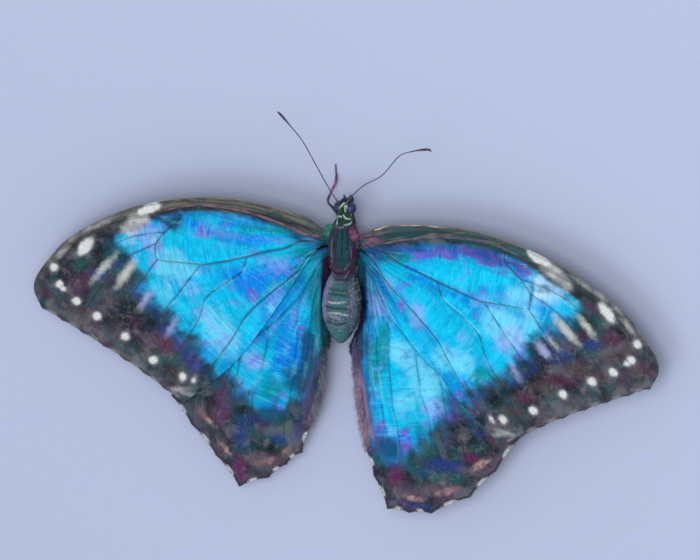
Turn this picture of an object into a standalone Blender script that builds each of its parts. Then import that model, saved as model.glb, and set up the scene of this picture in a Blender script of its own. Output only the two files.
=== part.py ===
"""Blue morpho butterfly (Morpho peleides), a female at life size.

She stands on the ground with her wings spread flat, as she basks. Her head
points to -Y, +Z is up, and her left wings are on +X. The origin lies on the
ground, under the middle of the whole animal's box. She walks on four legs, and
the two front legs are short brushes folded under the head.

Sizes below are in millimetres. Shapes are laid out on a plan seen from above:
`out` is the distance from the body's axis towards the wing tip, `back` is the
distance behind the wing roots, and heights are above the ground.
"""

import math

import bmesh
import bpy
from mathutils import Matrix, Vector
from mathutils.geometry import delaunay_2d_cdt

MM = 0.001

# ---------------------------------------------------------------- sizes, mm
AXIS_HEIGHT = 8.0  # body axis above the ground
BOX_BACK_MIDDLE = 13.86  # middle of the box, behind the wing roots
BOX_OUT_MIDDLE = 0.0

WING_THICKNESS = 0.5
FOREWING_LIFT = 0.30  # forewing root above the body axis
FOREWING_CAMBER = 0.5  # rise at mid span
FOREWING_TIP_FALL = 0.8  # fall from root to tip
HINDWING_DROP = 0.65  # hindwing root below the body axis
FOREWING_SCALLOPS = 7
FOREWING_SCALLOP_DEPTH = 0.4
HINDWING_SCALLOP_DEPTH = 0.45
HINDWING_DROOP = {"left": 9.0, "right": 0.5}  # degrees, below the forewing
WING_STEP = 4.6  # spacing of the points inside a wing
RIM_STEP = 2.1  # spacing of the points on its outline

CLEARANCE = 0.15  # between the trunk and what grows from it
CUT = 0.2  # between head, thorax and abdomen
NECK_BACK = -4.35
WAIST_BACK = 6.45

EYE = {"out": 1.25, "back": -6.35, "height": 7.2, "radii": (0.95, 1.15, 1.25)}
ANTENNA_RADIUS = 0.26
ANTENNA_CLUB_RADIUS = 0.42
FEMUR_RADIUS, TIBIA_RADIUS, TARSUS_RADIUS = 0.42, 0.30, 0.27
FOOT_HEIGHT = 0.22  # middle of the foot's tube above the ground

# ------------------------------------------------------- wing plans, (out, back)
FOREWING_LEADING_EDGE = [
    ("hidden root", 2.0, -1.2),
    ("root", 4.4, -1.9),
    ("humeral angle", 9.0, -4.1),
    ("costa, a third", 21.5, -5.65),
    ("costa, half", 33.0, -4.4),
    ("costa, two thirds", 45.0, -0.3),
    ("subapex", 56.0, 6.6),
    ("apex, front", 62.3, 14.0),
    ("apex", 63.9, 18.2),
    ("apex, rear", 62.3, 22.0),
]
FOREWING_OUTER_EDGE = [
    ("apex, rear", 62.3, 22.0),
    ("outer edge, a third", 53.2, 26.0),
    ("outer edge, two thirds", 42.8, 31.1),
    ("tornus", 32.6, 37.2),
]
FOREWING_TRAILING_EDGE = [
    ("tornus", 32.6, 37.2),
    ("trailing edge, outer", 22.0, 27.4),
    ("trailing edge, inner", 13.0, 14.6),
    ("rear root", 5.4, 2.6),
    ("hidden root", 2.0, 1.2),
]
HINDWING_LEADING_EDGE = [
    ("hidden root", 2.4, 1.6),
    ("root", 4.6, 2.0),
    ("shoulder", 11.0, 5.2),
    ("leading edge, middle", 21.5, 14.0),
    ("leading edge, outer", 31.0, 25.5),
]
# Each vein's end is a tooth of the scalloped rear edge.
HINDWING_TEETH = {
    "left": [
        ("Rs", 35.6, 36.4),
        ("M1", 31.6, 41.9),
        ("M2", 27.0, 48.0),
        ("M3, the tail", 22.7, 54.2),
        ("CuA1", 16.9, 51.8),
        ("CuA2", 13.3, 48.6),
        ("1A and 2A", 10.1, 45.8),
        ("3A", 7.9, 39.4),
    ],
    "right": [
        ("Rs", 36.2, 35.0),
        ("M1", 30.8, 43.0),
        ("M2", 25.6, 49.0),
        ("M3, the tail", 17.6, 53.4),
        ("CuA1", 13.1, 53.9),
        ("CuA2", 8.7, 53.7),
        ("1A and 2A", 5.9, 47.3),
        ("3A", 4.2, 42.0),
    ],
}
HINDWING_INNER_EDGE = {
    "left": [
        ("fold, rear", 7.9, 39.4),
        ("fold, outer", 6.2, 34.6),
        ("fold, middle", 5.0, 29.5),
        ("fold, front", 4.6, 24.0),
        ("beside the abdomen's tip", 4.75, 18.5),
        ("beside the abdomen", 4.6, 13.0),
        ("beside the waist", 4.3, 8.0),
        ("rear root", 4.2, 4.6),
        ("hidden root", 2.4, 3.6),
    ],
    "right": [
        ("fold, rear", 4.2, 42.0),
        ("fold, outer", 2.75, 35.0),
        ("fold, middle", 2.0, 29.5),
        ("fold, front", 1.75, 24.0),
        ("beside the abdomen's tip", 2.05, 19.6),
        ("beside the abdomen, rear", 3.1, 17.2),
        ("beside the abdomen", 4.0, 12.8),
        ("beside the waist", 3.6, 8.6),
        ("rear root", 3.4, 4.8),
        ("hidden root", 2.4, 3.6),
    ],
}

# Trunk sections: (back, half width, half height, height above the axis, out to the left)
TRUNK = [
    (-8.15, 0.30, 0.35, -0.95, -0.05),
    (-8.00, 0.75, 0.85, -0.92, -0.05),
    (-7.60, 1.15, 1.25, -0.88, -0.05),
    (-6.90, 1.50, 1.55, -0.82, -0.05),
    (-6.10, 1.62, 1.70, -0.76, -0.05),
    (-5.30, 1.64, 1.64, -0.66, -0.04),
    (-4.60, 1.70, 1.62, -0.54, -0.03),
    (-4.10, 1.86, 1.80, -0.42, -0.02),
    (-3.50, 2.22, 2.20, -0.27, 0.00),
    (-2.50, 2.80, 2.85, -0.10, 0.00),
    (-1.00, 3.12, 3.35, 0.00, 0.00),
    (1.00, 3.18, 3.50, 0.05, 0.00),
    (3.00, 3.10, 3.40, 0.05, 0.00),
    (4.80, 2.85, 3.05, 0.00, 0.00),
    (6.00, 2.50, 2.60, -0.15, 0.02),
    (6.90, 2.55, 2.60, -0.20, 0.04),
    (8.00, 3.05, 3.05, -0.15, 0.06),
    (9.60, 3.55, 3.55, -0.05, 0.10),
    (11.60, 3.88, 3.85, 0.00, 0.16),
    (13.60, 3.90, 3.85, 0.00, 0.26),
    (15.50, 3.60, 3.55, -0.10, 0.38),
    (17.30, 3.05, 3.00, -0.30, 0.52),
    (18.90, 2.30, 2.30, -0.55, 0.66),
    (20.20, 1.45, 1.50, -0.80, 0.80),
    (21.00, 0.75, 0.80, -0.95, 0.88),
    (21.25, 0.30, 0.35, -1.00, 0.90),
]
TRUNK_SIDES = 18

# Limbs: (out, back, height, radius) from the trunk to the tip
ANTENNAE = {
    "left": [
        (0.55, -6.90, 7.60, ANTENNA_RADIUS),
        (0.95, -7.95, 8.75, ANTENNA_RADIUS),
        (2.75, -11.60, 9.90, ANTENNA_RADIUS),
        (4.70, -16.00, 11.00, ANTENNA_RADIUS),
        (6.70, -20.30, 12.00, ANTENNA_RADIUS),
        (8.60, -23.10, 12.80, 0.34),
        (10.70, -25.70, 13.40, ANTENNA_CLUB_RADIUS),
        (11.35, -26.25, 13.50, 0.30),
    ],
    "right": [
        (0.55, -6.90, 7.60, ANTENNA_RADIUS),
        (0.98, -7.95, 8.75, ANTENNA_RADIUS),
        (4.35, -11.80, 9.40, ANTENNA_RADIUS),
        (8.50, -14.70, 9.70, ANTENNA_RADIUS),
        (12.00, -19.00, 9.90, ANTENNA_RADIUS),
        (15.00, -20.50, 10.00, 0.34),
        (17.90, -21.20, 10.00, ANTENNA_CLUB_RADIUS),
        (18.60, -20.80, 9.90, 0.30),
    ],
}
MIDLEGS = {
    "left": [
        (1.60, 1.00, 5.20, 0.55),
        (2.00, 0.20, 4.20, 0.50),
        (2.30, -3.60, 5.00, FEMUR_RADIUS),
        (2.95, -5.45, 5.95, 0.38),
        (3.72, -6.85, 6.60, 0.34),
        (4.06, -8.00, 3.90, TIBIA_RADIUS),
        (4.24, -8.85, 1.30, TIBIA_RADIUS),
        (4.45, -9.85, 0.35, TARSUS_RADIUS),
        (4.58, -10.90, FOOT_HEIGHT, TARSUS_RADIUS),
        (4.64, -12.00, FOOT_HEIGHT, TARSUS_RADIUS),
    ],
    "right": [
        (1.60, 1.00, 5.20, 0.55),
        (2.10, 0.90, 4.20, 0.50),
        (5.20, 1.20, 5.90, FEMUR_RADIUS),
        (7.60, 1.30, 6.45, FEMUR_RADIUS),
        (8.30, 1.25, 6.10, 0.36),
        (8.90, 0.90, 3.20, TIBIA_RADIUS),
        (9.20, 0.60, 1.20, TIBIA_RADIUS),
        (10.00, 0.30, 0.40, TARSUS_RADIUS),
        (11.60, -0.10, FOOT_HEIGHT, TARSUS_RADIUS),
        (13.20, -0.30, FOOT_HEIGHT, TARSUS_RADIUS),
    ],
}
HINDLEG = [
    (1.50, 3.60, 5.20, 0.55),
    (1.90, 4.20, 4.10, 0.50),
    (4.40, 7.20, 4.80, FEMUR_RADIUS),
    (6.20, 9.60, 5.10, FEMUR_RADIUS),
    (6.70, 10.40, 4.90, 0.36),
    (7.60, 12.80, 2.80, TIBIA_RADIUS),
    (8.10, 14.10, 1.30, TIBIA_RADIUS),
    (8.60, 15.30, 0.42, TARSUS_RADIUS),
    (9.40, 17.20, FOOT_HEIGHT, TARSUS_RADIUS),
    (10.10, 19.20, FOOT_HEIGHT, TARSUS_RADIUS),
]
FORELEG = [
    (0.85, -1.60, 5.00, 0.42),
    (0.90, -2.40, 4.50, 0.40),
    (0.80, -3.60, 4.75, 0.36),
    (0.62, -4.60, 5.15, 0.30),
    (0.56, -5.10, 5.30, 0.26),
]
PALP = [
    (0.78, -6.30, 6.00, 0.34),
    (0.84, -7.30, 5.35, 0.36),
    (0.78, -7.95, 5.50, 0.34),
    (0.66, -8.20, 5.95, 0.25),
]
PROBOSCIS_CENTRE = (0.0, -6.85, 4.20)
PROBOSCIS_COIL = (0.92, 0.28)  # outer and inner coil radius
PROBOSCIS_RADIUS = 0.25
PROBOSCIS_TURNS = 1.15

SIDE = {"left": 1.0, "right": -1.0}

COLOURS = {  # name: (base colour, roughness)
    "wing blue": ((0.02, 0.30, 0.72), 0.35),
    "wing blue, hind": ((0.02, 0.34, 0.70), 0.35),
    "thorax hair": ((0.05, 0.11, 0.12), 0.8),
    "head hair": ((0.04, 0.10, 0.09), 0.75),
    "abdomen scales": ((0.20, 0.21, 0.23), 0.7),
    "eye": ((0.05, 0.05, 0.14), 0.15),
    "feeler": ((0.12, 0.07, 0.10), 0.5),
    "leg": ((0.13, 0.09, 0.10), 0.55),
    "palp": ((0.16, 0.16, 0.14), 0.7),
    "tongue": ((0.20, 0.13, 0.07), 0.4),
}


# ------------------------------------------------------------------- helpers
def place(out, back, height, side=1.0):
    """A plan position in metres, in the part's frame."""
    return Vector(
        (
            (side * out - BOX_OUT_MIDDLE) * MM,
            (back - BOX_BACK_MIDDLE) * MM,
            height * MM,
        )
    )


def material(name):
    """The Principled material of one kind of surface."""
    found = bpy.data.materials.get(name)
    if found:
        return found
    colour, roughness = COLOURS[name]
    made = bpy.data.materials.new(name)
    made.use_nodes = True
    shader = made.node_tree.nodes["Principled BSDF"]
    shader.inputs["Base Color"].default_value = (*colour, 1.0)
    shader.inputs["Roughness"].default_value = roughness
    shader.inputs["Metallic"].default_value = 0.0
    made.diffuse_color = (*colour, 1.0)
    return made


def add_object(name, mesh, surface, collection):
    obj = bpy.data.objects.new(name, mesh)
    if surface:
        mesh.materials.append(material(surface))
    collection.objects.link(obj)
    return obj


def catmull_rom(controls, samples):
    """A smooth run through the controls, `samples` points for each span."""
    points = [Vector(c) for c in controls]
    ends = [2 * points[0] - points[1], *points, 2 * points[-1] - points[-2]]
    run = []
    for a, b, c, d in zip(ends, ends[1:], ends[2:], ends[3:]):
        for i in range(samples):
            t = i / samples
            run.append(
                0.5
                * (
                    2 * b
                    + (c - a) * t
                    + (2 * a - 5 * b + 4 * c - d) * t**2
                    + (3 * b - a - 3 * c + d) * t**3
                )
            )
    run.append(points[-1])
    return run


def evenly(run, step):
    """The run walked again in steps of nearly equal length, ends kept."""
    lengths = [0.0]
    for a, b in zip(run, run[1:]):
        lengths.append(lengths[-1] + (b - a).length)
    count = max(1, round(lengths[-1] / step))
    walked, i = [], 0
    for k in range(count + 1):
        target = lengths[-1] * k / count
        while i < len(run) - 2 and lengths[i + 1] < target:
            i += 1
        span = lengths[i + 1] - lengths[i]
        t = (target - lengths[i]) / span if span else 0.0
        walked.append(run[i].lerp(run[i + 1], min(max(t, 0.0), 1.0)))
    return walked


def edge_run(named, step):
    """A wing edge through its named landmarks."""
    return evenly(catmull_rom([(out, back) for _, out, back in named], 24), step)


# --------------------------------------------------------------- wing outlines
def forewing_outline():
    leading = edge_run(FOREWING_LEADING_EDGE, RIM_STEP)
    outer = edge_run(FOREWING_OUTER_EDGE, RIM_STEP / 1.6)
    trailing = edge_run(FOREWING_TRAILING_EDGE, RIM_STEP)
    scalloped = []
    for i, point in enumerate(outer):
        t = i / (len(outer) - 1)
        ahead = outer[min(i + 1, len(outer) - 1)] - outer[max(i - 1, 0)]
        inward = Vector((-ahead.y, ahead.x)).normalized()
        if inward.x > 0:
            inward = -inward
        depth = FOREWING_SCALLOP_DEPTH * abs(math.sin(math.pi * FOREWING_SCALLOPS * t))
        scalloped.append(point + inward * depth)
    return leading[:-1] + scalloped[:-1] + trailing[:-1]


def hindwing_outline(side):
    leading = edge_run(
        HINDWING_LEADING_EDGE + [HINDWING_TEETH[side][0]], RIM_STEP * 1.4
    )
    teeth = [Vector((out, back)) for _, out, back in HINDWING_TEETH[side]]
    scalloped = []
    for a, b in zip(teeth, teeth[1:]):
        along = b - a
        inward = Vector((along.y, -along.x)).normalized()
        if inward.y > 0:
            inward = -inward
        count = max(3, round(along.length / (RIM_STEP * 0.72)))
        for i in range(count):
            t = i / count
            bow = 4 * t * (1 - t)
            scalloped.append(a + along * t + inward * HINDWING_SCALLOP_DEPTH * bow)
    inner = edge_run(HINDWING_INNER_EDGE[side], RIM_STEP * 1.3)
    return leading[:-1] + scalloped + inner[:-1]


def forewing_height(out, back):
    """Height of the forewing's middle surface: a shallow arch, lower at the tip."""
    t = min(max((out - 3.5) / 60.0, 0.0), 1.0)
    rise = FOREWING_CAMBER * math.sin(math.pi * t) - FOREWING_TIP_FALL * t * t
    return AXIS_HEIGHT + FOREWING_LIFT + rise


def hindwing_height(side):
    """The hindwing hangs from the line where it lies under the forewing."""
    root, tornus = Vector((3.5, 2.0)), Vector((32.0, 37.0))
    along = (tornus - root).normalized()
    slope = math.tan(math.radians(HINDWING_DROOP[side]))

    def height(out, back):
        away = Vector((out, back)) - root
        behind = away.y * along.x - away.x * along.y
        behind = 0.5 * (behind + math.sqrt(behind * behind + 9.0)) - 1.5
        return AXIS_HEIGHT - HINDWING_DROP - slope * max(behind, 0.0)

    return height


def wing(name, outline, height, side, surface, collection):
    """A thin curved plate: the outline filled with triangles, lifted, thickened."""
    lows = [min(p[i] for p in outline) for i in range(2)]
    highs = [max(p[i] for p in outline) for i in range(2)]
    count = len(outline)
    points = [Vector((p.x, p.y)) for p in outline]

    def inside(p):
        crossings = False
        for a, b in zip(outline, outline[1:] + outline[:1]):
            if (a.y > p.y) != (b.y > p.y):
                if p.x < (b.x - a.x) * (p.y - a.y) / (b.y - a.y) + a.x:
                    crossings = not crossings
        return crossings

    row, y = 0, lows[1]
    while y < highs[1]:
        x = lows[0] + (WING_STEP / 2 if row % 2 else 0.0)
        while x < highs[0]:
            p = Vector((x, y))
            near = min((p - q).length for q in outline)
            if near > WING_STEP * 0.45 and inside(p):
                points.append(p)
            x += WING_STEP
        y += WING_STEP * math.sqrt(3) / 2
        row += 1
    edges = [(i, (i + 1) % count) for i in range(count)]
    flat, _, faces, _, _, _ = delaunay_2d_cdt(points, edges, [], 1, 1e-5)
    mesh = bpy.data.meshes.new(name)
    mesh.from_pydata(
        [place(p.x, p.y, height(p.x, p.y), side) for p in flat],
        [],
        [list(f) for f in faces],
    )
    shaped = bmesh.new()
    shaped.from_mesh(mesh)
    bmesh.ops.recalc_face_normals(shaped, faces=shaped.faces)
    if sum(f.normal.z for f in shaped.faces) < 0:
        bmesh.ops.reverse_faces(shaped, faces=shaped.faces)
    shaped.to_mesh(mesh)
    shaped.free()
    obj = add_object(name, mesh, surface, collection)
    thick = obj.modifiers.new("thickness", "SOLIDIFY")
    thick.thickness = WING_THICKNESS * MM
    thick.offset = 0.0
    return obj


# ----------------------------------------------------------------- the trunk
def trunk_sections():
    """The trunk's sections, smoothed along its length."""
    rows = catmull_rom([Vector(s[:3]) for s in TRUNK], 2)
    offsets = catmull_rom([Vector((s[3], s[4], 0)) for s in TRUNK], 2)
    return [(*r, o[0], o[1]) for r, o in zip(rows, offsets)]


def loft(name, sections, grow=0.0):
    """A closed body through elliptical sections, `grow` mm larger all round."""
    shaped = bmesh.new()
    rings = []
    for back, wide, high, lift, left in sections:
        ring = []
        for k in range(TRUNK_SIDES):
            turn = 2 * math.pi * (k + 0.5) / TRUNK_SIDES
            ring.append(
                shaped.verts.new(
                    place(
                        left + (wide + grow) * math.cos(turn),
                        back,
                        AXIS_HEIGHT + lift + (high + grow) * math.sin(turn),
                    )
                )
            )
        rings.append(ring)
    for a, b in zip(rings, rings[1:]):
        for k in range(TRUNK_SIDES):
            j = (k + 1) % TRUNK_SIDES
            shaped.faces.new((a[k], a[j], b[j], b[k]))
    for ring, way in ((rings[0], -1), (rings[-1], 1)):
        middle = sum((v.co for v in ring), Vector()) / TRUNK_SIDES
        middle.y += way * (0.05 + grow) * MM
        tip = shaped.verts.new(middle)
        for k in range(TRUNK_SIDES):
            shaped.faces.new((ring[k], ring[(k + 1) % TRUNK_SIDES], tip))
    bmesh.ops.recalc_face_normals(shaped, faces=shaped.faces)
    mesh = bpy.data.meshes.new(name)
    shaped.to_mesh(mesh)
    shaped.free()
    return mesh


def trunk_length(name, mesh, front, rear, surface, collection):
    """One length of the trunk, between two planes across it."""
    shaped = bmesh.new()
    shaped.from_mesh(mesh)
    for back, way in ((front, -1), (rear, 1)):
        if back is None:
            continue
        bmesh.ops.bisect_plane(
            shaped,
            geom=shaped.verts[:] + shaped.edges[:] + shaped.faces[:],
            dist=1e-7,
            plane_co=place(0, back, 0),
            plane_no=(0, way, 0),
            clear_outer=True,
        )
        rim = [e for e in shaped.edges if e.is_boundary]
        bmesh.ops.contextual_create(shaped, geom=rim)
    bmesh.ops.recalc_face_normals(shaped, faces=shaped.faces)
    part = bpy.data.meshes.new(name)
    shaped.to_mesh(part)
    shaped.free()
    obj = add_object(name, part, surface, collection)
    part.shade_smooth()
    return obj


def subtract(obj, cutter):
    cut = obj.modifiers.new("clear of " + cutter.name, "BOOLEAN")
    cut.operation = "DIFFERENCE"
    cut.solver = "EXACT"
    cut.object = cutter


def helper(obj):
    obj.hide_render = True
    obj.display_type = "WIRE"


def ellipsoid(name, centre, radii, side, surface, collection, grow=0.0):
    mesh = bpy.data.meshes.new(name)
    shaped = bmesh.new()
    bmesh.ops.create_uvsphere(shaped, u_segments=14, v_segments=9, radius=MM)
    scale = Matrix.Diagonal((*[r + grow for r in radii], 1.0))
    bmesh.ops.transform(shaped, matrix=scale, verts=shaped.verts)
    shaped.to_mesh(mesh)
    shaped.free()
    mesh.shade_smooth()
    obj = add_object(name, mesh, surface, collection)
    obj.location = place(*centre, side)
    return obj


def limb(name, controls, side, surface, collection, samples=2):
    """A tapering round limb through its joints, as a closed mesh."""
    joints = catmull_rom([c[:3] for c in controls], samples)
    widths = catmull_rom([(c[3], 0, 0) for c in controls], samples)
    curve = bpy.data.curves.new(name, "CURVE")
    curve.dimensions = "3D"
    curve.bevel_depth = MM
    curve.bevel_resolution = 2
    curve.use_fill_caps = True
    spline = curve.splines.new("POLY")
    spline.points.add(len(joints) - 1)
    for point, joint, width in zip(spline.points, joints, widths):
        point.co = (*place(*joint, side), 1.0)
        point.radius = width[0]
    guide = bpy.data.objects.new(name + " guide", curve)
    collection.objects.link(guide)
    bpy.context.view_layer.update()
    graph = bpy.context.evaluated_depsgraph_get()
    mesh = bpy.data.meshes.new_from_object(guide.evaluated_get(graph))
    mesh.name = name
    matrix = guide.matrix_world.copy()
    bpy.data.objects.remove(guide)
    shaped = bmesh.new()
    shaped.from_mesh(mesh)
    bmesh.ops.remove_doubles(shaped, verts=shaped.verts, dist=1e-7)
    bmesh.ops.recalc_face_normals(shaped, faces=shaped.faces)
    shaped.to_mesh(mesh)
    shaped.free()
    mesh.materials.clear()
    mesh.shade_smooth()
    obj = add_object(name, mesh, surface, collection)
    obj.matrix_world = matrix
    return obj


def proboscis_coil():
    """The tongue, rolled up in the middle plane."""
    out, back, height = PROBOSCIS_CENTRE
    outer, inner = PROBOSCIS_COIL
    controls = [(0.0, -7.05, 5.75, PROBOSCIS_RADIUS)]
    steps = 14
    for i in range(steps + 1):
        t = i / steps
        turn = math.radians(100) + 2 * math.pi * PROBOSCIS_TURNS * t
        radius = outer + (inner - outer) * t
        controls.append(
            (
                out,
                back + radius * math.cos(turn),
                height + radius * math.sin(turn),
                PROBOSCIS_RADIUS,
            )
        )
    return controls


# --------------------------------------------------------------------- build
def build():
    for obj in list(bpy.data.objects):
        bpy.data.objects.remove(obj)

    parts = bpy.data.collections.new("blue_morpho_butterfly")
    cutters = bpy.data.collections.new("cutters")
    bpy.context.scene.collection.children.link(parts)
    bpy.context.scene.collection.children.link(cutters)

    sections = trunk_sections()
    whole = loft("trunk", sections)
    keep_clear = add_object(
        "keep_clear", loft("keep_clear", sections, CLEARANCE), None, cutters
    )
    helper(keep_clear)
    ground = bpy.data.meshes.new("ground")
    shaped = bmesh.new()
    bmesh.ops.create_cube(shaped, size=1.0)
    bmesh.ops.transform(
        shaped, matrix=Matrix.Diagonal((0.2, 0.2, 0.004, 1.0)), verts=shaped.verts
    )
    shaped.to_mesh(ground)
    shaped.free()
    ground = add_object("ground", ground, None, cutters)
    ground.location = (0, 0, -0.002)
    helper(ground)

    head = trunk_length("head", whole, None, NECK_BACK - CUT / 2, "head hair", parts)
    trunk_length(
        "thorax", whole, NECK_BACK + CUT / 2, WAIST_BACK - CUT / 2, "thorax hair", parts
    )
    trunk_length(
        "abdomen", whole, WAIST_BACK + CUT / 2, None, "abdomen scales", parts
    )

    for side, sign in SIDE.items():
        centre = (EYE["out"] - 0.05 * sign, EYE["back"], EYE["height"])
        ellipsoid("eye_" + side, centre, EYE["radii"], sign, "eye", parts)
        socket = ellipsoid(
            "socket_" + side, centre, EYE["radii"], sign, None, cutters, CLEARANCE
        )
        helper(socket)
        subtract(head, socket)

        fore = wing(
            "forewing_" + side,
            forewing_outline(),
            forewing_height,
            sign,
            "wing blue",
            parts,
        )
        hind = wing(
            "hindwing_" + side,
            hindwing_outline(side),
            hindwing_height(side),
            sign,
            "wing blue, hind",
            parts,
        )
        limbs = [
            limb("antenna_" + side, ANTENNAE[side], sign, "feeler", parts),
            limb("midleg_" + side, MIDLEGS[side], sign, "leg", parts),
            limb("hindleg_" + side, HINDLEG, sign, "leg", parts),
            limb("foreleg_" + side, FORELEG, sign, "leg", parts),
            limb("palp_" + side, PALP, sign, "palp", parts),
        ]
        for piece in [fore, hind, *limbs]:
            subtract(piece, keep_clear)
        subtract(limbs[0], socket)
        for leg in limbs[1:3]:
            subtract(leg, ground)

    tongue = limb("proboscis", proboscis_coil(), 1.0, "tongue", parts, samples=1)
    subtract(tongue, keep_clear)


build()
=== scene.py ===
"""The looks of the blue morpho butterfly (Morpho peleides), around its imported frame.

Shapes are laid out in millimetres on a plan seen from above, as in the frame:
`out` is the distance from the body's axis towards the wing tip, `back` is the
distance behind the wing roots, and heights are above the ground.
"""

import math

import bmesh
import bpy
import numpy as np
from mathutils import Matrix, Vector
from mathutils.geometry import delaunay_2d_cdt
from mathutils.kdtree import KDTree


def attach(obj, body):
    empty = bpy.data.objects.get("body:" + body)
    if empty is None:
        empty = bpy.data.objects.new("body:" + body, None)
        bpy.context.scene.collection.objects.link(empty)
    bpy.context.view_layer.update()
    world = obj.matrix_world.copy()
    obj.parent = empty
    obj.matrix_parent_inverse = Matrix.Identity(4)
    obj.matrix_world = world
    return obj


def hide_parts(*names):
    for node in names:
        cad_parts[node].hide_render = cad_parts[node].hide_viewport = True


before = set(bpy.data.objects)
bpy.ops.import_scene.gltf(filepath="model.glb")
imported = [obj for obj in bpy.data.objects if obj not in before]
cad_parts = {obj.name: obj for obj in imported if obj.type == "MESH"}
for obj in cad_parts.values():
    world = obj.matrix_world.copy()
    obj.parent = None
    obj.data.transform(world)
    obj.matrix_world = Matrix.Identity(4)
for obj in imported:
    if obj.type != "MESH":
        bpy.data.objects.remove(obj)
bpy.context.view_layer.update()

MM = 0.001
AXIS_HEIGHT = 8.0
BOX_BACK_MIDDLE = 13.86
SIDE = {"left": 1.0, "right": -1.0}


# ============================================================ camera and stage
VIEW_FROM = Vector((-0.340, -0.340, 0.877)).normalized()  # object to camera
VIEW_RIGHT = Vector((-0.9326, 0.0, -0.3615))
VIEW_UP = Vector((0.1229, -0.9404, -0.3171))
VIEW_AIM = Vector((-0.0013276, -0.005931, 0.008))
VIEW_WIDTH = 0.13333  # width of the view at the wings
LENS = 1000.0


def make_camera():
    camera = bpy.data.cameras.new("camera")
    camera.lens = LENS
    camera.sensor_width = 36.0
    camera.clip_start, camera.clip_end = 0.01, 20.0
    holder = bpy.data.objects.new("camera", camera)
    bpy.context.scene.collection.objects.link(holder)
    back = VIEW_FROM
    right = (VIEW_RIGHT - back * VIEW_RIGHT.dot(back)).normalized()
    up = back.cross(right).normalized()
    turn = Matrix((right, up, back)).transposed()
    distance = VIEW_WIDTH * LENS / 36.0
    holder.matrix_world = Matrix.Translation(VIEW_AIM + back * distance) @ turn.to_4x4()
    bpy.context.scene.camera = holder


def area_light(name, place_at, aim, size, power, colour=(1, 1, 1)):
    light = bpy.data.lights.new(name, "AREA")
    light.shape = "DISK"
    light.size = size
    light.energy = power
    light.color = colour
    holder = bpy.data.objects.new(name, light)
    bpy.context.scene.collection.objects.link(holder)
    holder.location = place_at
    way = (Vector(place_at) - Vector(aim)).normalized()
    holder.rotation_euler = way.to_track_quat("Z", "Y").to_euler()
    return holder


def make_lights():
    world = bpy.data.worlds.new("studio")
    world.use_nodes = True
    sky = world.node_tree.nodes["Background"]
    sky.inputs["Color"].default_value = (0.95, 0.97, 1.0, 1.0)
    sky.inputs["Strength"].default_value = 0.54
    bpy.context.scene.world = world
    area_light("key", (-0.16, -0.24, 0.66), (0, 0.0, 0.01), 0.34, 1.95, (1.0, 0.99, 0.97))
    area_light("top", (0.10, 0.16, 0.70), (0, 0.0, 0.01), 0.40, 0.82, (1.0, 0.99, 0.97))
    bpy.context.scene.view_settings.view_transform = "Standard"
    bpy.context.scene.view_settings.look = "None"


# ============================================================ shader building
def linear(code):
    """An sRGB colour such as "12ab9f" as linear values."""
    parts = [int(code[i : i + 2], 16) / 255 for i in (0, 2, 4)]
    return tuple(c / 12.92 if c <= 0.04045 else ((c + 0.055) / 1.055) ** 2.4 for c in parts)


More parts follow.
